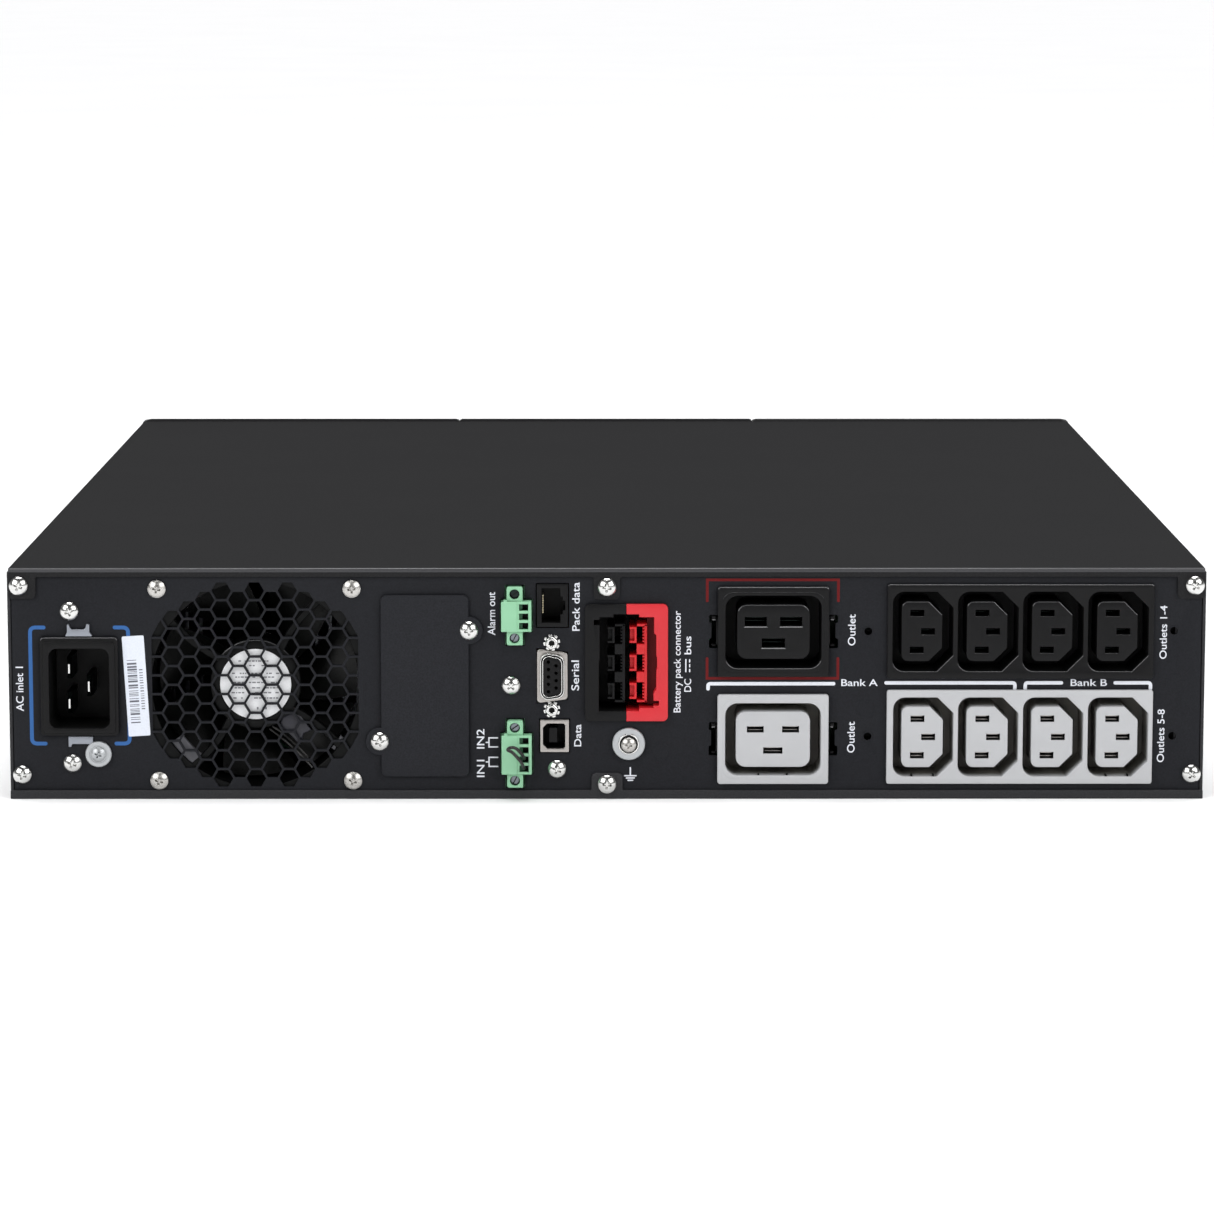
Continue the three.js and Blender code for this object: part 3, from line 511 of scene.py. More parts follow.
# ------------------------------------------------------------------ camera, floor and light
def make_camera():
    cam = bpy.data.objects.new("camera", bpy.data.cameras.new("camera"))
    cam.data.sensor_width = 36.0
    cam.data.lens = 4546.0 / 1214.0 * 36.0
    cam.data.clip_end = 200
    scene.collection.objects.link(cam)
    pitch, yaw, roll = 0.1482, 0.001, -0.0001
    fwd = Vector((math.sin(yaw) * math.cos(pitch), math.cos(yaw) * math.cos(pitch), -math.sin(pitch)))
    right = fwd.cross(Vector((0, 0, 1))).normalized()
    up = right.cross(fwd)
    m = Matrix((right, up, -fwd)).transposed().to_4x4()
    m = m @ Matrix.Rotation(roll, 4, "Z")
    m.translation = Vector((-0.00154, Y0 - 1.6501, 0.3178))
    cam.matrix_world = m
    scene.camera = cam
    return cam


make_camera()


def area_light(name, loc, target, size, power, size_y=None, color=(1, 1, 1)):
    l = bpy.data.lights.new(name, "AREA")
    l.shape = "RECTANGLE" if size_y else "SQUARE"
    l.size = size
    if size_y:
        l.size_y = size_y
    l.energy, l.color = power, color
    o = bpy.data.objects.new(name, l)
    o.location = loc
    o.rotation_euler = (Vector(target) - Vector(loc)).to_track_quat("-Z", "Y").to_euler()
    scene.collection.objects.link(o)
    return o


def make_stage():
    me = bpy.data.meshes.new("floor")
    me.from_pydata([(-60, -60, 0), (60, -60, 0), (60, 90, 0), (-60, 90, 0)], [], [(0, 1, 2, 3)])
    m = Mat("floor_pale", (246, 246, 247), 0.9, Specular_IOR_Level=0.1)
    m.tint(m.noise(3, 2), 0.985, 1.0)
    me.materials.append(m.m)
    o = bpy.data.objects.new("floor", me)
    scene.collection.objects.link(o)
    w = bpy.data.worlds.new("studio")
    scene.world = w
    w.use_nodes = True
    nt = w.node_tree
    bg = nt.nodes["Background"]
    bg.inputs["Color"].default_value = (1.0, 1.0, 1.0, 1)
    # a white wall near the horizon under a dim ceiling
    def node(kind, **values):
        n = nt.nodes.new(kind)
        for k, v in values.items():
            n.inputs[k.replace("_", " ")].default_value = v
        return n

    tc, sp = node("ShaderNodeTexCoord"), node("ShaderNodeSeparateXYZ")
    reach = node("ShaderNodeMapRange", From_Min=-0.25, From_Max=0.25, To_Min=0.07, To_Max=0.3)  # the wall is taller behind the object
    ratio, wall = nt.nodes.new("ShaderNodeMath"), node("ShaderNodeMapRange", From_Min=0.15, From_Max=1.0, To_Min=0.75, To_Max=0.1)
    ratio.operation = "DIVIDE"
    nt.links.new(tc.outputs["Generated"], sp.inputs["Vector"])
    nt.links.new(sp.outputs["Y"], reach.inputs["Value"])
    nt.links.new(sp.outputs["Z"], ratio.inputs[0])
    nt.links.new(reach.outputs["Result"], ratio.inputs[1])
    nt.links.new(ratio.outputs["Value"], wall.inputs["Value"])
    nt.links.new(wall.outputs["Result"], bg.inputs["Strength"])
    scene.view_settings.view_transform = "Standard"
    l = bpy.data.lights.new("overhead", "SUN")
    l.energy, l.angle = 3.15, math.radians(40)
    s = bpy.data.objects.new("overhead", l)
    s.rotation_euler = (math.radians(-6), 0, 0)
    s.location = (0, 0, 3)
    scene.collection.objects.link(s)
    for k, x in (("left", -1.7), ("right", 1.7)):
        area_light("softbox_" + k, (x, Y0 - 1.6, 1.45), (0, Y0, 0.04), 1.9, 38, 1.6)


make_stage()


# ------------------------------------------------------------------ case: cover, rear panel, slot cover
def terminal_cutout(zc, ways):
    half = ways * TERMINAL_PITCH / 2 + 0.9
    ends, a, b, c, d = half + 5.2, -39.2, -27.1, -37.3, -30.2
    return [(c, zc - ends), (d, zc - ends), (d, zc - half), (b, zc - half), (b, zc + half), (d, zc + half), (d, zc + ends), (c, zc + ends), (c, zc + half), (a, zc + half), (a, zc - half), (c, zc - half)]


def case():
    c = Piece("cover_sheet")
    R, T = 0.75, 1.2
    prof = [(DEPTH, 86.0), (DEPTH, 86.0 - T)]
    inner = [(-0.1 + 0.3 * (1 - math.cos(a)), 86.0 - T - 0.3 * (1 - math.sin(a))) for a in [math.pi / 2 * i / 4 for i in range(4, -1, -1)]]
    outer = [(-1.1 + R * (1 - math.cos(a)), 86.0 - R * (1 - math.sin(a))) for a in [math.pi / 2 * i / 8 for i in range(0, 9)]]
    prof += inner + [(-0.1, 84.45), (-1.1, 84.45)] + outer
    c.plate(prof, -219.4, 219.4, "coat", r=0.35, rb=0.35, to=SIDE, seg=3)

    def tab(x0, x1, z):
        return [(x0, 82.7), (x0, z), (x1, z), (x1, 82.7)]

    lip = [(-219.4, 84.5)] + tab(-219.4, -209.4, 74.6) + tab(-4.8, 4.9, 74.3) + tab(209.4, 219.4, 74.6) + [(219.4, 84.5)]
    rad = [0, 0, 1.2, 1.8, 0.8, 0.8, 1.8, 1.8, 0.8, 0.8, 1.8, 1.2, 0, 0]
    lip = [lip[0]] + lip[2:-2] + [lip[-1]]
    rad = [0] + rad[2:-2] + [0]
    loop = arc_corners(lip, rad, 6)
    c.plate(loop, -1.1, -0.15, "coat", r=0.3, seg=3, keep=lambda p: p[1] > 84.49)
    for s in (-1, 1):
        c.plate(rect(4, 496, 72, 84.9), s * 218.5, s * 217.5, "coat", r=0.1, to=SIDE)
    # the faces of the cover's rear bend take the lighter coat: a painted highlight
    highlight_mat = c.mat("coat_highlight")
    for i, fc in enumerate(c.f):
        ys, zs = [c.v[k][1] for k in fc], [c.v[k][2] for k in fc]
        if min(zs) > 84.4 and max(ys) < 0.45 and max(zs) > 84.9 and c.mi[i] == 0 and len(fc) == 4 and max(abs(c.v[k][0]) for k in fc) > 219.0:
            c.mi[i] = highlight_mat
    c.done("case", "case_coat", "top_cover")

    # Rear panel, with the honeycomb finger guard punched in it.
    p = Piece("rear_panel_sheet")
    holes = [
        rounded(INLET_X - 13.1, INLET_X + 13.1, INLET_Z - 17.2, INLET_Z + 17.2, 1, 3),
        rect(-197.2, -190.4, 61.2, 63.6), rect(-197.2, -190.4, 20.6, 23.0),
        rounded(-80.5, -53.2, 11.5, 73, 2, 4),
        terminal_cutout(RELAY_Z, 3), terminal_cutout(SIGNAL_Z, 4), rect(-26.0, -13.9, 63.7, 80.3),
        [(-25.8, SERIAL_Z - 10.3), (-14.3, SERIAL_Z - 8.9), (-14.3, SERIAL_Z + 8.9), (-25.8, SERIAL_Z + 10.3)],
        rect(-24.9, -13.5, 17.2, 29.9), rect(-5.4, 20.2, 30.9, 70.6),
        circle(8.1, 20.6, 2.8, 16), circle(-187.3, 16.8, 2.2, 16),
    ]
    for z in C19_Z.values():
        holes.append(arc_corners([(42.4, z - 15.4), (80.0, z - 15.4), (80.0, z - 6.3), (85.0, z - 6.3), (85.0, z - 2.7), (84.0, z - 2.7), (84.0, z + 3.2), (85.0, z + 3.2), (85.0, z + 6.1), (80.0, z + 6.1), (80.0, z + 15.4), (42.4, z + 15.4), (42.4, z + 6.1), (37.6, z + 6.1), (37.6, z + 3.2), (38.5, z + 3.2), (38.5, z - 2.7), (37.6, z - 2.7), (37.6, z - 6.3), (42.4, z - 6.3)], 0.5, 2))
    for z in C13_Z.values():
        holes.append(rect(BANK_X - 48.2, BANK_X + 48.2, z - 16.2, z + 16.2))
    for x, z in ((96.1, 62.4), (96.1, 23.2), (208.4, 62.6), (208.4, 23.4)):
        holes.append(circle(x, z, 1.5, 24))
    # honeycomb clipped by a circle and a square, as in the finger guard
    dx, rr = HEX_PITCH * math.sqrt(3) / 2, HEX_AF / math.sqrt(3)

    def clip(poly, test, cross):
        out = []
        for i in range(len(poly)):
            a, b = poly[i - 1], poly[i]
            ia, ib = test(a), test(b)
            if ia != ib:
                out.append(cross(a, b))
            if ib:
                out.append(b)
        return out

    for i in range(-6, 7):
        for k in range(-11, 12):
            if (k + abs(i)) % 2:
                continue
            x, z = i * dx, k * HEX_PITCH / 2
            if math.hypot(x, z) > 42.3 or abs(z) > 35.6:
                continue
            h = [(x + a, z + b) for a, b in circle(0, 0, rr, 6)]
            h = [((a[0] + (b[0] - a[0]) * t), (a[1] + (b[1] - a[1]) * t)) for a, b in zip(h, h[1:] + h[:1]) for t in (0, 0.25, 0.5, 0.75)]
            lim = 37.95
            for s in (-1, 1):
                h = clip(h, lambda q: q[0] * s <= lim, lambda a, b: (s * lim, a[1] + (b[1] - a[1]) * (s * lim - a[0]) / (b[0] - a[0])))
            q = []
            for a in h:
                d = math.hypot(*a)
                q.append(a if d <= 42.05 else (a[0] * 42.05 / d, a[1] * 42.05 / d))
            if len(q) >= 3 and abs(area(q)) > 3:
                holes.append([(FAN_X + a, FAN_Z + b) for a, b in q])
    p.plate(rounded(-218.5, 218.5, 1.6, 84.4, 0.8, 2), 0, 1.2, "panel", holes, r=0.12, rh=0.1, seg=2)
    for x, z, r in ((20.0, 17.6, 3.3), (95.3, 33.3, 3.3), (208.8, 43.0, 3.3)):
        p.lathe([(0, 0.3), (r, 0.3), (r, 0.0), (r - 0.1, -0.1), (r - 0.3, -0.15), (r - 0.9, -0.17), (0, -0.17)], x, z, "panel", 48)
    for x, z in ((96.1, 62.4), (96.1, 23.2), (208.4, 62.6), (208.4, 23.4)):
        p.plate(circle(x, z, 2.0, 36), -0.12, 0.3, "panel", [circle(x, z, 1.45, 28)], r=0.08, rh=0.06)
        # a near-black tube and cap down each hole: painted shade
        p.plate(circle(x, z, 1.6, 28), 0.2, 6.0, "black_shade", [circle(x, z, 1.45, 28)], r=0)
        p.lathe([(0, 5.9), (1.6, 5.9), (1.6, 6.2), (0, 6.2)], x, z, "black_shade", 20)
    p.done("case", "panel_coat", "rear_panel", "fan_guard")

    s = Piece("slot_cover_plate")
    body = rounded(-83.0, -50.7, 8.4, 76.0, 2.2, 6)
    s.plate(body, -1.4, -0.15, "coat_plate", r=0.35, seg=3)
    for x, z in SLOT_SCREWS:
        s.plate(circle(x, z, 5.1, 40), -1.42, -0.16, "coat_plate", r=0.35, seg=3)
    s.done("slot_cover", "case_coat", "slot_cover")


case()


# ------------------------------------------------------------------ screws
def head_mesh(r, h, cross, wide, deep):
    """A pan head with a cross recess, centred on the origin, its seat at y = 0 and its top at y = -h."""
    def obj(name, verts, faces):
        me = bpy.data.meshes.new(name)
        me.from_pydata(verts, [], faces)
        bm = bmesh.new(); bm.from_mesh(me); bmesh.ops.recalc_face_normals(bm, faces=bm.faces[:]); bm.to_mesh(me); bm.free()
        o = bpy.data.objects.new(name, me)
        scene.collection.objects.link(o)
        return o

    n = 48
    prof = [(0.0, 0.0), (r * 0.97, 0.0), (r, -0.12 * h), (r, -0.3 * h)]
    d = 0.68 * h
    R = (r * r + d * d) / (2 * d)
    edge = math.asin(r / R)
    prof[-1] = (r, d - h)
    prof += [(R * math.sin(edge * k / 12), -h + R * (1 - math.cos(edge * k / 12))) for k in range(11, 0, -1)]
    prof += [(0.0, -h)]
    rings = [[(max(q, 1e-4) * math.cos(2 * math.pi * i / n), y, max(q, 1e-4) * math.sin(2 * math.pi * i / n)) for i in range(n)] for q, y in prof]
    verts = [p for g in rings for p in g]
    faces = [(k * n + i, k * n + (i + 1) % n, (k + 1) * n + (i + 1) % n, (k + 1) * n + i) for k in range(len(rings) - 1) for i in range(n)]
    faces += [tuple(range(n))[::-1], tuple((len(rings) - 1) * n + i for i in range(n))]
    head = obj("tmp_head", verts, faces)
    L, W, b = cross / 2, wide / 2, wide * 0.36
    plus = [(-W, L), (-W, W), (-L, W), (-L, -W), (-W, -W), (-W, -L), (W, -L), (W, -W), (L, -W), (L, W), (W, W), (W, L)]
    low = [(x * 0.45 if abs(x) == L else x * 0.6, z * 0.45 if abs(z) == L else z * 0.6) for x, z in plus]
    vs = [(x, -h - 0.2, z) for x, z in plus] + [(x, -h + deep, z) for x, z in low]
    m = len(plus)
    fs = [(i, (i + 1) % m, m + (i + 1) % m, m + i) for i in range(m)] + [tuple(range(m)), tuple(m + i for i in range(m))[::-1]]
    cutter = obj("tmp_cut", vs, fs)
    md = head.modifiers.new("b", "BOOLEAN")
    md.operation, md.object, md.solver = "DIFFERENCE", cutter, "EXACT"
    dg = bpy.context.evaluated_depsgraph_get()
    me = bpy.data.meshes.new_from_object(head.evaluated_get(dg))
    out = ([tuple(v.co) for v in me.vertices], [tuple(q.vertices) for q in me.polygons])
    for o in (head, cutter):
        bpy.data.objects.remove(o)
    return out


HEAD = head_mesh(3.38, 2.35, 4.1, 0.95, 1.5)
HEAD_FAN = head_mesh(3.3, 1.9, 3.6, 0.85, 1.3)
HEAD_SMALL = head_mesh(2.75, 1.7, 3.2, 0.75, 1.1)


def put_head(pc, head, x, z, seat, turn, key="screw"):
    pc.copy(*head, key, Matrix.Translation((x, seat, z)) @ Matrix.Rotation(math.radians(turn), 4, "Y"))


def shank(pc, x, z, seat, length, r=1.45, key="screw"):
    """A threaded shank: rolled thread rings, then a blunt tip."""
    prof = [(0, seat)]
    y, k = seat, 0
    while y < seat + length - 0.8:
        prof += [(r * 0.86, y), (r, y + 0.25), (r * 0.86, y + 0.5)]
        y += 0.5
    prof += [(r * 0.6, seat + length), (0, seat + length)]
    pc.lathe(prof, x, z, key, 14)


def screws():
    rnd = random.Random(4)
    for i, (x, z) in enumerate(COVER_SCREWS):
        s = Piece("cover_screw_head_" + "lmr"[i]); put_head(s, HEAD, x, z, -1.2, rnd.uniform(0, 90)); shank(s, x, z, -1.25, 6)
        s.done("case", "nickel_steel", "cover_screw_" + ["left", "middle", "right"][i])
    for i, (x, z) in enumerate(BASE_SCREWS):
        y = -1.2 if i == 1 else -0.12
        s = Piece("base_screw_head_" + "lmr"[i]); put_head(s, HEAD, x, z, y, rnd.uniform(0, 90)); shank(s, x, z, y, 6)
        s.done("case", "nickel_steel", "base_screw_" + ["left", "middle", "right"][i])
    for i, (x, z) in enumerate(SLOT_SCREWS):
        s = Piece("slot_screw_head_" + "ul"[i]); put_head(s, HEAD, x, z, -1.45, rnd.uniform(0, 90)); shank(s, x, z, -1.45, 6)
        s.done("slot_cover", "nickel_steel", "slot_cover_screw_" + ["upper", "lower"][i])
    for name, (x, z) in SMALL_SCREWS.items():
        s = Piece(name); put_head(s, HEAD, x, z, -0.02, rnd.uniform(0, 90)); s.done("case", "nickel_steel")
    for i in (-1, 1):
        for k in (-1, 1):
            x, z = FAN_X + i * FAN_HOLES / 2, FAN_Z + k * FAN_HOLES / 2
            s = Piece("fan_screw_%s%s" % ("lr"[i > 0], "bt"[k > 0]))
            s.lathe([(0, -0.02), (3.1, -0.02), (3.1, -0.25), (0, -0.25)], x, z, "dull", 32)
            put_head(s, HEAD_FAN, x, z, -0.2, rnd.uniform(0, 90), "dull")
            shank(s, x, z, -0.2, 8)
            s.done("case", "nickel_steel")


screws()


# ------------------------------------------------------------------ power inlet
def inlet():
    p = Piece("inlet_body")
    x, z = INLET_X, INLET_Z
    well = rounded(x - 11.05, x + 11.05, 26.6, 56.3, 3, 6)
    # up-facing edges of the flange are lighter: painted highlight
    p.plate(rounded(x - 14.3, x + 14.3, 23.8, 60.4, 1.4, 5), -1.9, -0.15, "black", [rounded(x - 12.2, x + 12.2, 25.4, 57.6, 2.2, 5)], r=0.3, rh=0.1, highlight_rim="black_highlight")
    p.plate(rounded(x - 13.2, x + 13.2, 24.8, 59.0, 1.6, 5), -2.5, -1.0, "black", [well], r=0.3, rh=0.35)
    # past the front the well and the back are near-black: painted shade
    p.plate(rounded(x - 12.8, x + 12.8, 25.3, 58.9, 1, 3), -1.0, 22, "black_shade", [well], r=0.0, rh=0.0)
    p.plate(rounded(x - 12.7, x + 12.7, 25.4, 58.8, 1, 3), 21.9, 30, "black_shade", r=0.0)
    p.done("case", "black_plastic", "inlet_housing")
    pins = {"line": (x - 4.3, 47.9, 1.7), "neutral": (x - 4.3, 34.9, 1.7), "earth": (x + 2.9, 41.3, 1.9)}
    for k, (a, b, tip) in pins.items():
        s = Piece("inlet_blade_" + k)
        rows = [(0.3, tip, 3.5), (0.42, tip + 0.14, 3.66), (1.0, 4.0, 6.2), (1.0, 4.0, 34)]
        rings = [[(a + sx * w, y, b + sz * h) for sx, sz in ((-1, -1), (1, -1), (1, 1), (-1, 1))] for w, h, y in rows]
        s.rings(rings[:2], "screw", (True, False))
        # behind the tip the blade is dark steel: painted shade
        s.rings(rings[1:], "steel_dark", (False, True))
        s.done("case", "nickel_steel", "inlet_pin_" + k)
    up = [(-199.0, 60.75), (-188.5, 60.75), (-189.8, 62.3), (-189.8, 65.3), (-191.0, 65.3), (-191.2, 64.2), (-191.9, 63.4), (-196.4, 63.4), (-197.1, 64.2), (-197.3, 65.3), (-198.1, 65.3), (-198.1, 62.3)]
    s = Piece("retainer_upper")
    s.plate(arc_corners(ccw(up), 0.35, 3), -1.7, -0.15, "clip", r=0.3)
    s.plate(rect(-196.6, -191.0, 61.5, 63.0), -0.2, 6, "clip", r=0)
    s.done("case", "retainer_zinc", "inlet_retainer_upper")
    dn = [(-198.3, 23.5), (-198.3, 19.4), (-197.3, 19.4), (-196.9, 20.5), (-190.6, 20.5), (-190.2, 19.4), (-189.2, 19.4), (-189.2, 23.5)]
    s = Piece("retainer_lower")
    s.plate(arc_corners(ccw(dn), 0.35, 3), -0.95, -0.15, "clip", r=0.3)
    s.plate(rect(-196.6, -191.0, 21.0, 22.6), -0.2, 6, "clip", r=0)
    s.done("case", "retainer_zinc", "inlet_retainer_lower")
    s = Piece("earth_screw_inlet")
    s.lathe([(0, -0.15), (4.85, -0.15), (4.85, -1.05), (4.6, -1.3), (3.3, -1.3), (3.2, -1.12), (0, -1.12)], -187.3, 16.8, "zinc", 48)
    put_head(s, HEAD_SMALL, -187.3, 16.8, -1.15, 20, "zinc")
    shank(s, -187.3, 16.8, -1.2, 9, 1.8)
    s.done("case", "nickel_steel", "inlet_earth_screw")


inlet()


# ------------------------------------------------------------------ fan
def fan():
    b, y0, y1 = FAN_SIDE / 2, 1.5, 26.9
    sq = rounded(FAN_X - b, FAN_X + b, FAN_Z - b, FAN_Z + b, 4, 6)
    f = Piece("fan_housing")
    bore = circle(FAN_X, FAN_Z, 38.2, 72)
    screw_holes = [circle(FAN_X + i * 35.75, FAN_Z + k * 35.75, 2.15, 16) for i in (-1, 1) for k in (-1, 1)]
    f.plate(sq, y0, y0 + 3.5, "fan", [bore, *screw_holes], r=0.3, rh=0.4)
    f.plate(circle(FAN_X, FAN_Z, 39.8, 72), y0 + 3.4, y1 - 3.4, "fan", [bore], r=0)
    f.plate(sq, y1 - 3.5, y1, "fan", [bore, *screw_holes], r=0, rb=0.3)
    f.lathe([(0, y0 + 4), (16.4, y0 + 4), (16.7, y0 + 3.6), (16.7, y0 + 0.8), (16.45, y0 + 0.45), (16.1, y0 + 0.3), (13.6, y0 + 0.3), (13.4, y0 + 0.5), (0, y0 + 0.5)], FAN_X, FAN_Z, "fan", 72)
    # a thin lighter arc along the top of the hub ring: painted highlight
    f.tube([(FAN_X + 16.35 * math.cos(t), y0 + 0.55, FAN_Z + 16.35 * math.sin(t)) for t in [math.radians(32 + 116 * i / 40) for i in range(41)]], 0.28, "black_highlight", 8, scale=[0.3 + 0.7 * math.sin(math.pi * i / 40) for i in range(41)])
    for a in (53, 143, 233, 323):
        t = math.radians(a)
        u, n = Vector((math.cos(t), 0, math.sin(t))), Vector((-math.sin(t), 0, math.cos(t)))
        rings = []
        for k in range(9):
            q = k / 8
            c = Vector((FAN_X, 0, FAN_Z)) + u * (14 + q * 25) + n * (1.4 * math.sin(q * math.pi))
            w = 1.5 - 0.25 * math.sin(q * math.pi)
            rings.append([tuple(c + n * (sx * w) + Vector((0, yy, 0))) for sx, yy in ((-0.75, y0 + 0.35), (0.75, y0 + 0.35), (1, y0 + 0.7), (1, y0 + 3.4), (-1, y0 + 3.4), (-1, y0 + 0.7))])
        f.rings(rings, "fan", (True, True))
    f.done("case", "black_plastic", "fan_frame")

    g = Piece("fan_lead")
    # the lead leaves the hub under a small cover, runs out beside a strut and round the bore in a pale sleeve
    cover = [(9.6, -12.4), (13.4, -10.4), (16.6, -12.0), (20.6, -17.2), (17.6, -18.4), (16.2, -22.8), (12.2, -18.6), (8.6, -15.6)]
    g.plate([(FAN_X + a, FAN_Z + b) for a, b in cover], y0 + 0.1, y0 + 3.4, "sleeve_dark", r=0.5)
    for k, off in enumerate((0.0, 1.1)):
        path = []
        for i in range(16):
            q = i / 15
            path.append((FAN_X + 6.0 + q * 15.6 - off, y0 + 0.7 + 0.3 * math.sin(q * 7 + k), FAN_Z - 15.8 - q * 14.6 - off + 1.1 * math.sin(q * 3)))
        g.tube(path, 0.38, "wire", 10)
    for t0, t1, r0, r1 in ((215, 235, 33.2, 38.1), (319, 328, 36.6, 38.1)):
        band = [[(FAN_X + r * math.cos(t), FAN_Z + r * math.sin(t)) for t in [math.radians(t0 + (t1 - t0) * i / 9) for i in range(10)]] for r in (r0, r1)]
        g.plate(band[0] + band[1][::-1], y0 + 0.9, y0 + 2.6, "sleeve", r=0.5)
    g.done("case", "rubber")

    lb = Piece("fan_label")
    lb.lathe([(0, y0 + 0.5), (13.1, y0 + 0.5), (13.1, y0 + 0.42), (13.05, y0 + 0.4), (0, y0 + 0.4)], FAN_X, FAN_Z, "label", 64)
    rnd = random.Random(9)
    for row, zz in enumerate((8.6, 6.9, 4.0, 2.6, 0.6, -1.4, -3.2, -5.2, -9.0)):
        half = math.sqrt(max(1, 11.6 ** 2 - zz ** 2)) * 0.8
        x = -half
        while x < half - 0.6:
            w = rnd.uniform(0.5, 1.5)
            if rnd.random() < 0.62:
                h = 0.5 if row != 8 else 0.9
                lb.plate(rect(FAN_X + x, FAN_X + min(x + w, half), FAN_Z + zz - h / 2, FAN_Z + zz + h / 2), y0 + 0.375, y0 + 0.41, "label_print", r=0)
            x += w + 0.35
    lb.done("case", "black_plastic")

    r = Piece("fan_wheel")
    yh = y0 + 4.6
    r.lathe([(0, y1 - 1.5), (15.6, y1 - 1.5), (16.2, y1 - 2.2), (16.2, yh + 0.8), (15.4, yh), (0, yh)], FAN_X, FAN_Z, "blade", 64)
    nb = 7
    for i in range(nb):
        top, bot = [], []
        NR, NT = 9, 9
        for a in range(NR):
            q = a / (NR - 1)
            rad = 15.8 + q * (36.9 - 15.8)
            span = math.radians(46 - 3 * q)
            sweep = math.radians(14 * q)
            for c in range(NT):
                t = c / (NT - 1)
                ang = 2 * math.pi * i / nb + sweep + span * (t - 0.5)
                pitch = 15.5 - 5.5 * q
                yy = y0 + 14.4 + (t - 0.5) * pitch + 1.5 * math.sin(t * math.pi)
                th = 0.85 * (1 - 0.45 * q) * (0.35 + 0.65 * math.sin(math.pi * min(max(t, 0.03), 0.97)))
                x, z = FAN_X + rad * math.cos(ang), FAN_Z + rad * math.sin(ang)
                top.append((x, yy - th, z)); bot.append((x, yy + th, z))
        n = NR * NT
        faces = []
        for a in range(NR - 1):
            for c in range(NT - 1):
                k = a * NT + c
                faces += [(k, k + 1, k + NT + 1, k + NT), (n + k, n + k + NT, n + k + NT + 1, n + k + 1)]
        edge = [c for c in range(NT)] + [a * NT + NT - 1 for a in range(1, NR)] + [(NR - 1) * NT + c for c in range(NT - 2, -1, -1)] + [a * NT for a in range(NR - 2, 0, -1)]
        for a, c in zip(edge, edge[1:] + edge[:1]):
            faces.append((a, c, n + c, n + a))
        r.add(top + bot, faces, "blade")
    r.done("fan", "black_plastic", "fan_rotor", angle=50)


fan()


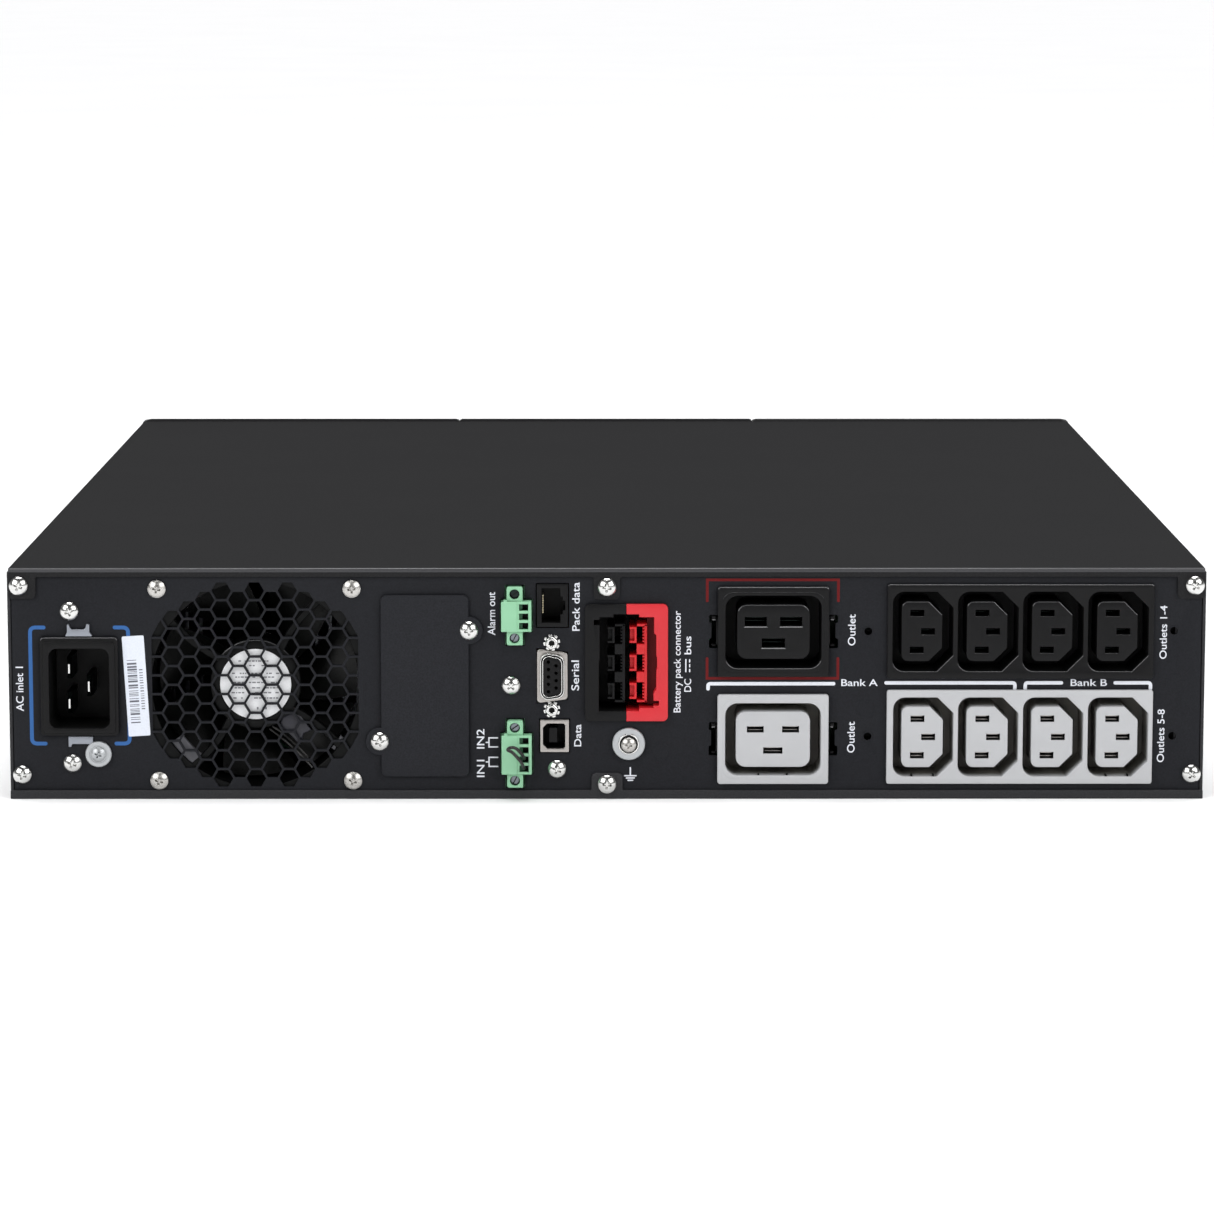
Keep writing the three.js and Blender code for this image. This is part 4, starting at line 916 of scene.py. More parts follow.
# ------------------------------------------------------------------ pluggable terminals
def terminal(name, zc, ways, body):
    half, x0, x1 = ways * TERMINAL_PITCH / 2 + 0.4, TERMINAL_X - 5.5, TERMINAL_X + 5.6
    ends = half + 5.2
    zs = [zc + (i - (ways - 1) / 2) * TERMINAL_PITCH for i in range(ways)]
    p = Piece(name + "_plug_body")
    hole = [rect(TERMINAL_X + 1.1, TERMINAL_X + 4.5, z - 1.2, z + 1.2) for z in zs]
    # past the mouth each hole's walls are darker green: painted shade
    p.plate(rounded(x0, x1 - 0.6, zc - half, zc + half, 0.3, 2), -4.2, 1.0, "green", hole, r=0.2, rh=0.12, wall=(1.2, "green_shade"))
    p.plate(rounded(x0, TERMINAL_X + 0.35, zc - half, zc + half, 0.3, 2), -4.55, -4.0, "green", r=0.25)
    p.plate(rounded(x1 - 1.15, x1, zc - half - 0.02, zc + half + 0.02, 0.25, 2), -4.45, 1.0, "green", r=0.22)
    # the back is darker green: painted shade
    p.plate(rounded(x0, x1, zc - half + 0.05, zc + half - 0.05, 0.3, 2), 0.9, 9, "green_shade", r=0)
    p.box(x0 + 0.9, x0 + 2.2, -4.3, -1, zc + half - 0.1, zc + half + 0.5, "green", 0.15)
    for z in zs:  # the clamp's cage, part way across each way in
        # the cage is darker green and the wire entry behind it a near-black sheet: painted shade
        p.plate([(TERMINAL_X + 1.1, z - 1.15), (TERMINAL_X + 2.3, z - 0.8), (TERMINAL_X + 2.3, z + 0.8), (TERMINAL_X + 1.1, z + 1.15)], -3.0, -0.5, "green_shade", r=0.1)
        p.plate(rect(TERMINAL_X + 1.2, TERMINAL_X + 4.4, z - 1.15, z + 1.15), -0.4, 0.8, "black_shade", r=0)
    for s in (-1, 1):
        zz = zc + s * (ends - 2.6)
        a, b = (zc + half - 0.3, zc + ends) if s > 0 else (zc - ends, zc - half + 0.3)
        # the screw well's walls past the mouth are darker green: painted shade
        p.plate(arc_corners(rect(TERMINAL_X - 3.5, TERMINAL_X + 2.4, a, b), [0.8, 0.3, 0.3, 0.8] if s < 0 else [0.3, 0.3, 0.8, 0.8], 4), -3.0, 7, "green", [circle(TERMINAL_X - 0.6, zz, 1.85, 28)], r=0.25, rh=0.2, wall=(1.0, "green_shade"))
        p.lathe([(0, 3), (1.8, 3), (1.75, -1.0), (1.45, -1.25), (0, -1.3)], TERMINAL_X - 0.6, zz, "steel_dark" if s > 0 and ways == 3 else "clip", 24)
        t = math.radians(35 if s > 0 else 62)
        c, sn = math.cos(t), math.sin(t)
        # the screw's slot is a near-black bar on its head: painted shade
        p.plate([(TERMINAL_X - 0.6 + u * c - v * sn, zz + u * sn + v * c) for u, v in ((-1.45, -0.2), (1.45, -0.2), (1.45, 0.2), (-1.45, 0.2))], -1.36, -1.0, "black_shade", r=0)
    p.done(body, "green_plastic", name + "_plug")
    h = Piece(name + "_socket")
    seat = [(TERMINAL_X + u, zc + v) for u, v in ((-3.85, -ends - 0.35), (2.75, -ends - 0.35), (2.75, -half - 0.35), (5.9, -half - 0.35), (5.9, half + 0.35), (2.75, half + 0.35), (2.75, ends + 0.35), (-3.85, ends + 0.35), (-3.85, half + 0.35), (-5.85, half + 0.35), (-5.85, -half - 0.35), (-3.85, -half - 0.35))]
    # the seat's walls past the mouth are darker green: painted shade
    h.plate(rect(x0 - 1.6, x1 + 1.5, zc - ends - 1.0, zc + ends + 1.0), 1.5, 9.5, "green", [seat], r=0.2, rh=0.2, wall=(1, "green_shade"))
    h.plate(rect(x0 - 1.6, x1 + 1.5, zc - ends - 1.0, zc + ends + 1.0), 9.5, 20, "green", r=0, rb=0.3)
    h.done("case", "green_plastic", name + "_header")
    return zs


def smooth(points, steps=10):
    out, P = [], [Vector(p) for p in points]
    for i in range(len(P) - 1):
        a, b, c, d = P[max(i - 1, 0)], P[i], P[i + 1], P[min(i + 2, len(P) - 1)]
        for k in range(steps):
            t = k / steps
            out.append(0.5 * ((2 * b) + (c - a) * t + (2 * a - 5 * b + 4 * c - d) * t * t + (3 * b - a - 3 * c + d) * t ** 3))
    out.append(P[-1])
    return out


def terminals():
    terminal("relay", RELAY_Z, 3, "relay_plug")
    zs = terminal("signal", SIGNAL_Z, 4, "signal_plug")
    za, zb, x = zs[0], zs[1], TERMINAL_X + 2.9
    route = [(x, 0.5, zb), (x, -2.2, zb), (x - 0.1, -4.9, zb + 0.8), (x - 1.0, -7.0, zb + 2.7), (x - 3.0, -8.2, zb + 4.9), (x - 4.9, -8.7, zb + 5.3), (x - 6.0, -9.0, zb + 4.5), (x - 4.4, -9.4, zb + 3.7), (x - 2.4, -9.2, zb + 1.6), (x - 1.0, -7.7, za + 2.9), (x - 0.2, -5.2, za + 0.5), (x, -2.2, za), (x, 0.5, za)]
    w = Piece("jumper_lead")
    w.tube(smooth(route, 8), 0.62, "wire", 14)
    w.done("signal_plug", "rubber", "jumper_wire")


terminals()


# ------------------------------------------------------------------ data ports
def ports():
    j, zc = Piece("network_socket"), 72.1
    stepped = [(-23.9, zc - 6.4), (-17.0, zc - 6.4), (-17.0, zc - 3.3), (-16.1, zc - 3.3), (-16.1, zc - 1.8), (-15.2, zc - 1.8), (-15.2, zc + 1.8), (-16.1, zc + 1.8), (-16.1, zc + 3.3), (-17.0, zc + 3.3), (-17.0, zc + 6.4), (-23.9, zc + 6.4)]
    j.plate(rounded(-25.7, -14.2, zc - 8, zc + 8, 0.4, 3), -0.8, 0.8, "black", [stepped], r=0.2, rh=0.12)
    # behind the front, the opening and the back are near-black: painted shade
    j.plate(rect(-25.7, -14.2, zc - 8, zc + 8), 0.75, 12, "black_shade", [stepped], r=0)
    j.plate(rect(-25.6, -14.3, zc - 7.9, zc + 7.9), 11.9, 15, "black_shade", r=0)
    for i in range(8):  # sprung contacts along the left wall, their tips in the light
        z = zc + 0.5 + (i - 3.5) * 0.89
        j.tube([(-23.4, -0.25, z), (-23.38, 0.4, z), (-23.5, 1.2, z), (-23.5, 4, z), (-23.4, 8.5, z)], 0.2, "gold", 8)
    j.done("case", "black_plastic", "network_jack")

    x, z = SERIAL_X, SERIAL_Z

    def shape(w, h, t, r):
        return arc_corners([(x - w / 2, z - h / 2), (x + w / 2, z - h / 2 + t), (x + w / 2, z + h / 2 - t), (x - w / 2, z + h / 2)], r, 7)

    s = Piece("serial_metal")
    s.plate(shape(11.3, 20.3, 1.5, 1.3), -0.75, 0.35, "tin", [shape(8.6, 17.9, 1.4, 2.9)], r=0.3, rh=0.2)
    s.plate(shape(8.9, 18.2, 1.4, 3.0), -2.6, 1.4, "screw", [shape(8.2, 17.4, 1.4, 2.7)], r=0.22, rh=0.12, seg=4)
    # a near-black ring between the two shells: painted shade in the groove
    s.plate(shape(8.3, 17.5, 1.4, 2.7), -2.0, 1.4, "black_shade", [shape(7.3, 16.4, 1.35, 2.4)], r=0)
    s.plate(shape(7.35, 16.4, 1.35, 2.3), -3.2, 1.4, "screw", [shape(6.7, 15.7, 1.3, 2.0)], r=0.22, rh=0.14, seg=4)
    s.done("case", "nickel_steel", "serial_shell")
    i_ = Piece("serial_core")
    holes = [circle(x - 1.42, z + (i - 2) * 2.77, 0.62, 14) for i in range(5)] + [circle(x + 1.42, z + (i - 1.5) * 2.77, 0.62, 14) for i in range(4)]
    i_.plate(shape(6.6, 15.5, 1.25, 1.9), -2.5, 2.0, "black", holes, r=0.25, rh=0.18)
    # the insert's back is near-black: painted shade
    i_.plate(shape(6.5, 15.3, 1.25, 1.8), 1.9, 12, "black_shade", r=0)
    i_.done("case", "black_plastic", "serial_insert")
    for k, (a, b) in enumerate(JACKSCREWS):
        g = Piece("jackscrew_" + "ul"[k])
        teeth = []
        for i in range(80):
            t = 2 * math.pi * i / 80
            q = (i % 10) / 10
            teeth.append((a + (3.1 if q < 0.55 else 2.35) * math.cos(t + 0.1 * k), b + (3.1 if q < 0.55 else 2.35) * math.sin(t + 0.1 * k)))
        g.plate(teeth, -0.55, -0.02, "screw", [circle(a, b, 1.2, 20)], r=0.1)
        g.plate(arc_corners(circle(a, b, 2.6, 6, 0.3), 0.5, 3), -2.6, -0.5, "screw", [circle(a, b, 1.0, 24)], r=0.75, rh=0.4, seg=6)
        # a near-black disc down the screw's hole: painted shade
        g.lathe([(0, -0.4), (1.04, -0.4), (1.04, -0.9), (0, -0.9)], a, b, "black_shade", 20)
        g.done("case", "nickel_steel")

    u = Piece("usb_metal")
    inner = arc_corners([(-22.0, 18.8), (-15.9, 18.8), (-15.3, 19.4), (-15.3, 27.6), (-15.9, 28.2), (-22.0, 28.2), (-23.5, 26.6), (-23.5, 20.4)], 0.25, 3)
    u.plate(rounded(-24.5, -13.9, 17.5, 29.6, 0.35, 3), -0.9, 1.0, "tin", [inner], r=0.15, rh=0.12)
    # behind the shell the opening is near-black: painted shade
    u.plate(rect(-24.4, -14.0, 17.6, 29.5), 0.95, 15, "black_shade", [inner], r=0)
    u.done("case", "nickel_steel", "usb_shell")
    t = Piece("usb_core")
    t.plate(rounded(-21.3, -18.2, 20.7, 26.3, 0.3, 3), 1.4, 10.5, "black", r=0.2)
    # the tongue's back is near-black: painted shade
    t.plate([(-23.4, 19.0), (-15.4, 19.0), (-15.4, 28.0), (-23.4, 28.0)], 10, 14, "black_shade", r=0)
    t.done("case", "black_plastic", "usb_tongue")


ports()


# ------------------------------------------------------------------ external battery port
def battery_port():
    seam = 7.2
    z0, z1, zc = 29.2, 72.7, 50.95
    right = [(seam, 69.0), (11.9, 69.0), (11.9, 67.9), (17.4, 67.9), (17.4, 61.9), (18.2, 61.2), (18.2, 53.4), (18.5, 53.1), (18.5, 48.5), (18.2, 48.2), (18.2, 41.2), (17.2, 39.6), (17.2, 36.8), (19.2, 36.8), (19.2, 35.0), (17.2, 35.0), (17.2, 34.1), (11.9, 34.1), (11.9, 33.0), (seam, 33.0)]
    left = [(seam, 32.9), (-2.9, 32.9), (-2.9, 51.2), (-2.6, 52.0), (-2.6, 65.0), (-4.7, 65.0), (-4.7, 66.9), (-2.6, 66.9), (-2.6, 67.9), (2.5, 67.9), (2.5, 69.0), (seam, 69.0)]

    def half(name, pts, flange, key, deep, body, slot, node, sx):
        p = Piece(name)
        # the outline of the half frame, cut by its side of the well
        if sx > 0:
            loop = [(seam + 0.03, z1), *[(max(a, seam + 0.03), b) for a, b in pts], (seam + 0.03, z0), (22.5, z0), (22.5, z1)]
            rad = [0.0] + [0.12] * len(pts) + [0.0, 1.9, 1.9]
        else:
            loop = [(seam - 0.03, z0), *[(min(a, seam - 0.03), b) for a, b in pts], (seam - 0.03, z1), (-8.0, z1), (-8.0, z0)]
            rad = [0.0] + [0.12] * len(pts) + [0.0, 1.9, 1.9]
        a = area(loop)
        if a < 0:
            loop, rad = loop[::-1], rad[::-1]
        lp = arc_corners(loop, rad, 6)
        p.plate(lp, -2.0, -0.15, key, r=0.22, seg=3)
        inner = [(max(min(a, 21.0), -6.6), max(min(b, 71.2), 30.7)) for a, b in lp]
        # behind the face the well's walls take the half's inner colour; in the black half a darker black: painted
        # shade
        p.plate(inner, -0.2, 20, deep, r=0)
        base = rect(seam + 0.1, 19.8, 31.6, 69.9) if sx > 0 else rect(-4.6, seam - 0.1, 31.6, 69.9)
        # the back of each half is near-black: painted shade
        p.plate(base, 19.8, 26, "black_shade", r=0)
        ox = 0.0 if sx < 0 else 8.1
        y = 1.0
        block = "black" if sx < 0 else "red_block"
        for k in range(3):
            c = 60.9 - 10.45 * k
            # bracket open to the left
            g = [(0.3, 2.95), (2.9, 2.95), (2.9, -2.95), (0.3, -2.95), (0.3, -2.2), (2.05, -2.2), (2.05, 2.2), (0.3, 2.2)]
            p.plate([(a + ox, b + c) for a, b in g], y, 19.9, block, r=0.12)
            # inside each bracket, the inner colour; near-black in the black half: painted shade
            p.plate(rect(ox + 0.45, ox + 2.0, c - 2.1, c + 2.1), y + 2.2, 19.9, deep, r=0.1)
            # pocket's ribbed wall
            for q in range(5):
                zz = c + 2.4 - q * 1.2
                p.plate(rect(ox + 5.1, ox + 5.9, zz - 0.3, zz + 0.3), y + 0.3, 19.9, block, r=0.08)
        p.plate(rect(ox + 5.75, ox + 6.75, 35.9, 64.9), y, 19.9, block, r=0.15)
        p.plate(rect(ox + 3.0, ox + 6.75, 64.1, 65.0), y, 19.9, block, r=0.15)
        p.plate(rect(ox + 3.0, ox + 6.75, 35.8, 36.6), y, 19.9, block, r=0.15)
        if sx > 0:
            # a dark maroon sheet deep in the red half: painted shade
            p.plate(rect(ox + 6.7, 18.8, 34.6, 66.8), 3.6, 19.9, "red_shade", r=0)
        for zt in (55.6, 45.2):
            p.plate(rounded(ox + 2.9, ox + 5.9, zt - 1.95, zt + 1.95, 0.2, 2), y, 19.9, block, r=0.2)
        p.done("case", slot, node)

    half("battery_socket_black", left, None, "black", "black_shade", "case", "black_plastic", "battery_port_black", -1)
    half("battery_socket_red", right, None, "red", "red_deep", "case", "red_plastic", "battery_port_red", 1)
    g = Piece("earth_terminal")
    x, z = 8.1, 20.6
    g.lathe([(0, -0.15), (6.05, -0.15), (6.05, -1.15), (5.8, -1.4), (3.9, -1.4), (3.9, -1.3), (0, -1.3)], x, z, "zinc", 64)
    ring = [(x + r * math.cos(a), z + r * math.sin(a)) for r, a in [(3.85, math.radians(t)) for t in range(100, 441, 10)]]
    back = [(x + r * math.cos(a), z + r * math.sin(a)) for r, a in [(3.3, math.radians(t)) for t in range(440, 99, -10)]]
    g.plate(ring + back, -2.0, -1.25, "screw", r=0.2)
    # a near-black disc round the head, the gap under it: painted shade
    g.lathe([(0, -1.3), (3.35, -1.3), (3.35, -1.45), (0, -1.45)], x, z, "black_shade", 40)
    put_head(g, HEAD_SMALL, x, z - 0.25, -1.5, 8, "dull")
    shank(g, x, z, -2.0, 14, 2.4)
    g.done("case", "nickel_steel", "ground_stud")


battery_port()


# ------------------------------------------------------------------ outlets
def contact(p, x, z, w, y, key="tin"):
    """The mouth of a spring contact deep in a slot: two leaves that nearly meet."""
    for s in (-1, 1):
        p.plate([(x - w / 2, z + s * 0.95), (x + w / 2, z + s * 0.95), (x + w / 2, z + s * 0.35), (x - w / 2, z + s * 0.35)], y, y + 6, key, r=0.18)


def outlets_16a():
    for c, z in C19_Z.items():
        x = C19_X
        key = "black" if c == "black" else "grey"
        deep = "black_shade" if c == "black" else "grey_shade"
        p = Piece("socket_16a_" + c)
        dark = c == "black"
        highlight_rim = "black_highlight" if dark else None
        well = rounded(x - 17.6, x + 17.6, z - 13.5, z + 13.5, 4.6, 8)
        # In black housings the up-facing edges are lighter: painted highlight. Past the mouth the walls darken with
        # depth (grey) or turn a darker black, and the back is darker still: painted shade.
        p.plate(rounded(x - 20.45, x + 20.45, z - 16.7, z + 16.7, 1.1, 5), -2.0, -0.15, key, [rounded(x - 18.2, x + 18.2, z - 14.1, z + 14.1, 4.4, 6)], r=0.35, rh=0.1, highlight_rim=highlight_rim)
        p.plate(rounded(x - 18.7, x + 18.7, z - 14.7, z + 14.7, 3.8, 8), -2.06, 0.9, key, [well], r=0.05, rh=0.3, highlight_rim=highlight_rim)
        p.plate(rounded(x - 18.4, x + 18.4, z - 15.1, z + 15.1, 3, 6), 0.85, 17, deep if dark else "shaded_grey_wall", [well], r=0)
        p.plate(rounded(x - 18.4, x + 18.4, z - 15.1, z + 15.1, 3, 6), 16.9, 27, deep, r=0)
        hw, hh = (13.35, 10.05) if dark else (13.65, 10.35)
        core = rounded(x - hw, x + hw, z - hh, z + hh, 3.6, 8)
        if dark:
            spots = ((-6.5, 3.75, 8.0, 3.5), (6.5, 3.75, 8.0, 3.5), (0.0, -4.2, 8.4, 3.5))
        else:
            spots = ((-6.5, 3.7, 6.2, 2.4), (6.5, 3.7, 6.2, 2.4), (0.0, -4.2, 7.1, 2.4))
        slots = [rect(x + dx - w / 2, x + dx + w / 2, z + dz - h / 2, z + dz + h / 2) for dx, dz, w, h in spots]
        # Past the mouth the slot walls are near-black: painted shade. In black housings the core's up-facing edges are
        # lighter and the slots' lower edges lighter still: painted highlight and glint.
        p.plate(core, -1.6, 1.0, key, slots, r=0.3, rh=0.34 if dark else 0.08, wall=(0.9, "black_shade"), highlight_rim=highlight_rim, glint="black_glint")
        p.plate(offset(core, -0.02), 0.95, 16.95, deep if dark else "shaded_grey_wall", slots, r=0, wall=(0.1, "black_shade"))
        for dx, dz, w, h in spots:
            # in black housings the contacts are dark steel: painted shade
            contact(p, x + dx, z + dz, w - 0.6, 6.0 if dark else 1.6, "steel_dark" if dark else "tin")
        for dx in () if dark else (-5.3, 5.2):  # two small ribs at the foot of the well
            # the ribs are drawn near-black: painted shade
            p.box(x + dx - 0.35, x + dx + 0.35, -1.4, 0.5, z - 13.6, z - 12.9, "black_shade", 0.1)
        for s in (-1, 1):  # snap arms in the panel's notches
            a0, a1 = sorted((x + s * 18.3, x + s * 21.0))
            p.box(a0, a1, 1.9, 12, z - 5.6, z + 5.2, "black", 0.3)
            e = x + s * 20.9
            q = sorted((e, e + s * 1.7))
            p.box(q[0], q[1], 0.6, 4.0, z + 4.2, z + 5.8, "black", 0.3)
            # a light speck on the clip's tip: painted glint
            p.box(q[0] + 0.1, q[1] - 0.3, 0.4, 0.9, z + 4.1, z + 4.45, "black_glint", 0.12)
            p.box(q[0], q[1], 1.6, 4.0, z - 6.0, z - 4.9, "black", 0.3)
        p.done("case", c + "_plastic", "outlet_16a_" + c)


def outlets_10a():
    for c, z in C13_Z.items():
        key = "black" if c == "black" else "grey"
        deep = "black_shade" if c == "black" else "grey_shade"
        p = Piece("socket_bank_" + c)
        dark = c == "black"
        highlight_rim = "black_highlight" if dark else None
        shift = -0.45 if dark else 0.0
        wells = [dee(x + shift, z, 22.2, 29.6, 5.9, 4.3) for x in C13_X]
        # In black banks the up-facing edges are lighter: painted highlight. Past the mouths the walls darken with
        # depth (grey) or turn a darker black, and the back is darker still: painted shade.
        p.plate(rounded(BANK_X - 49.3, BANK_X + (48.5 if dark else 48.6), z - 17.5, z + 17.5, 0.9, 4), -1.7, 0.7, key, wells, r=0.3, rh=0.22, highlight_rim=highlight_rim)
        p.plate(rect(BANK_X - 47.9, BANK_X + 47.9, z - 15.9, z + 15.9), 0.65, 17, deep if dark else "shaded_grey_wall", wells, r=0)
        p.plate(rect(BANK_X - 47.9, BANK_X + 47.9, z - 15.9, z + 15.9), 16.9, 26, deep, r=0)
        for i, x in enumerate(C13_X):
            cx = x + shift - 0.35
            core = dee(cx, z, 14.9 if dark else 15.2, 22.1 if dark else 22.6, 4.9, 2.4)
            spots = ((-1.75, 6.8), (2.25, 0.0), (-1.85, -6.85))
            slots = [rect(cx + dx - 2.55, cx + dx + 2.55, z + dz - 1.22, z + dz + 1.22) for dx, dz in spots]
            # Past the mouth the slot walls are near-black: painted shade. In black banks the cores' up-facing edges
            # are lighter: painted highlight.
            p.plate(core, -1.3, 0.9, key, slots, r=0.25, rh=0.07, wall=(0.7, "black_shade"), highlight_rim=highlight_rim)
            p.plate(offset(ccw(core), -0.02), 0.85, 16.95, deep if dark else "shaded_grey_wall", slots, r=0, wall=(0.1, "black_shade"))
            for dx, dz in spots:
                # in black banks the contacts are dark steel: painted shade
                contact(p, cx + dx, z + dz, 4.5, 7.0 if dark else 1.5, "steel_dark" if dark else "tin")
            if i in (0, 3) and not dark:  # a snap window's two ribs at the foot of the well
                for dx in (-4.1, 3.9):
                    # the ribs are drawn near-black: painted shade
                    p.box(x + dx - 0.35, x + dx + 0.35, -1.2, 1.5, z - 15.0, z - 14.1, "black_shade", 0.1)
        p.done("case", c + "_plastic", "outlet_bank_" + c)


outlets_16a()
outlets_10a()


# ------------------------------------------------------------------ printed marks
def glyphs(text, bold=0.0):
    cu = bpy.data.curves.new("t", "FONT")
    cu.body, cu.offset, cu.resolution_u = text, bold, 4
    o = bpy.data.objects.new("t", cu)
    scene.collection.objects.link(o)
    dg = bpy.context.evaluated_depsgraph_get()
    me = bpy.data.meshes.new_from_object(o.evaluated_get(dg))
    v, f = [tuple(q.co) for q in me.vertices], [tuple(q.vertices) for q in me.polygons]
    bpy.data.objects.remove(o)
    return v, f


def write(p, text, cx, cz, length, cap, turn=0, y=-0.03, key="white_ink", bold=0.0):
    """Raised ink lettering, `length` long, its tallest letters `cap` high, centred on (cx, cz)."""
    v, f = glyphs(text, bold)
    x0, x1 = min(q[0] for q in v), max(q[0] for q in v)
    z0, z1 = min(q[1] for q in v), max(q[1] for q in v)
    v0, _ = glyphs("H", bold)
    ref = max(q[1] for q in v0) - min(q[1] for q in v0)
    base = min(q[1] for q in v0)
    sx, sz = length / (x1 - x0), cap / ref
    t = math.radians(turn)
    flat = []
    for q in v:
        a, b = (q[0] - (x0 + x1) / 2) * sx, (q[1] - base - ref / 2) * sz
        flat.append((cx + a * math.cos(t) - b * math.sin(t), cz + a * math.sin(t) + b * math.cos(t)))
    p.add([(a, y, b) for a, b in flat], f, key)


def stroke(p, pts, w, key, y=-0.03, r=0.0):
    """A printed line of width w along points, with mitred joins and round ends."""
    pts = [Vector(q) for q in pts]
    left, right = [], []
    for i, q in enumerate(pts):
        a, b = pts[max(i - 1, 0)], pts[min(i + 1, len(pts) - 1)]
        if 0 < i < len(pts) - 1:
            e, f = (q - a).normalized(), (b - q).normalized()
            n = Vector((-(e + f).y, (e + f).x))
            n = n / max(n.length_squared / 2, 0.3)
        else:
            d = (b - a).normalized()
            n = Vector((-d.y, d.x))
        left.append(q + n * w / 2)
        right.append(q - n * w / 2)
    n = len(pts)
    v = [(q.x, y, q.y) for q in left + right]
    p.add(v, [(i, i + 1, n + i + 1, n + i) for i in range(n - 1)], key)
    for q in (pts[0], pts[-1]):
        c = circle(q.x, q.y, w / 2, 16)
        p.add([(a, y - 0.0005, b) for a, b in c], [tuple(range(16))], key)


def bend(pts, r, n=6):
    """Round the inner corners of an open path."""
    out = [pts[0]]
    for i in range(1, len(pts) - 1):
        a, b, c = Vector(pts[i - 1]), Vector(pts[i]), Vector(pts[i + 1])
        e, f = (a - b).normalized(), (c - b).normalized()
        p0, p1 = b + e * r, b + f * r
        for k in range(n + 1):
            t = k / n
            q = p0 * (1 - t) ** 2 + b * 2 * t * (1 - t) + p1 * t * t
            out.append((q.x, q.y))
    out.append(pts[-1])
    return out


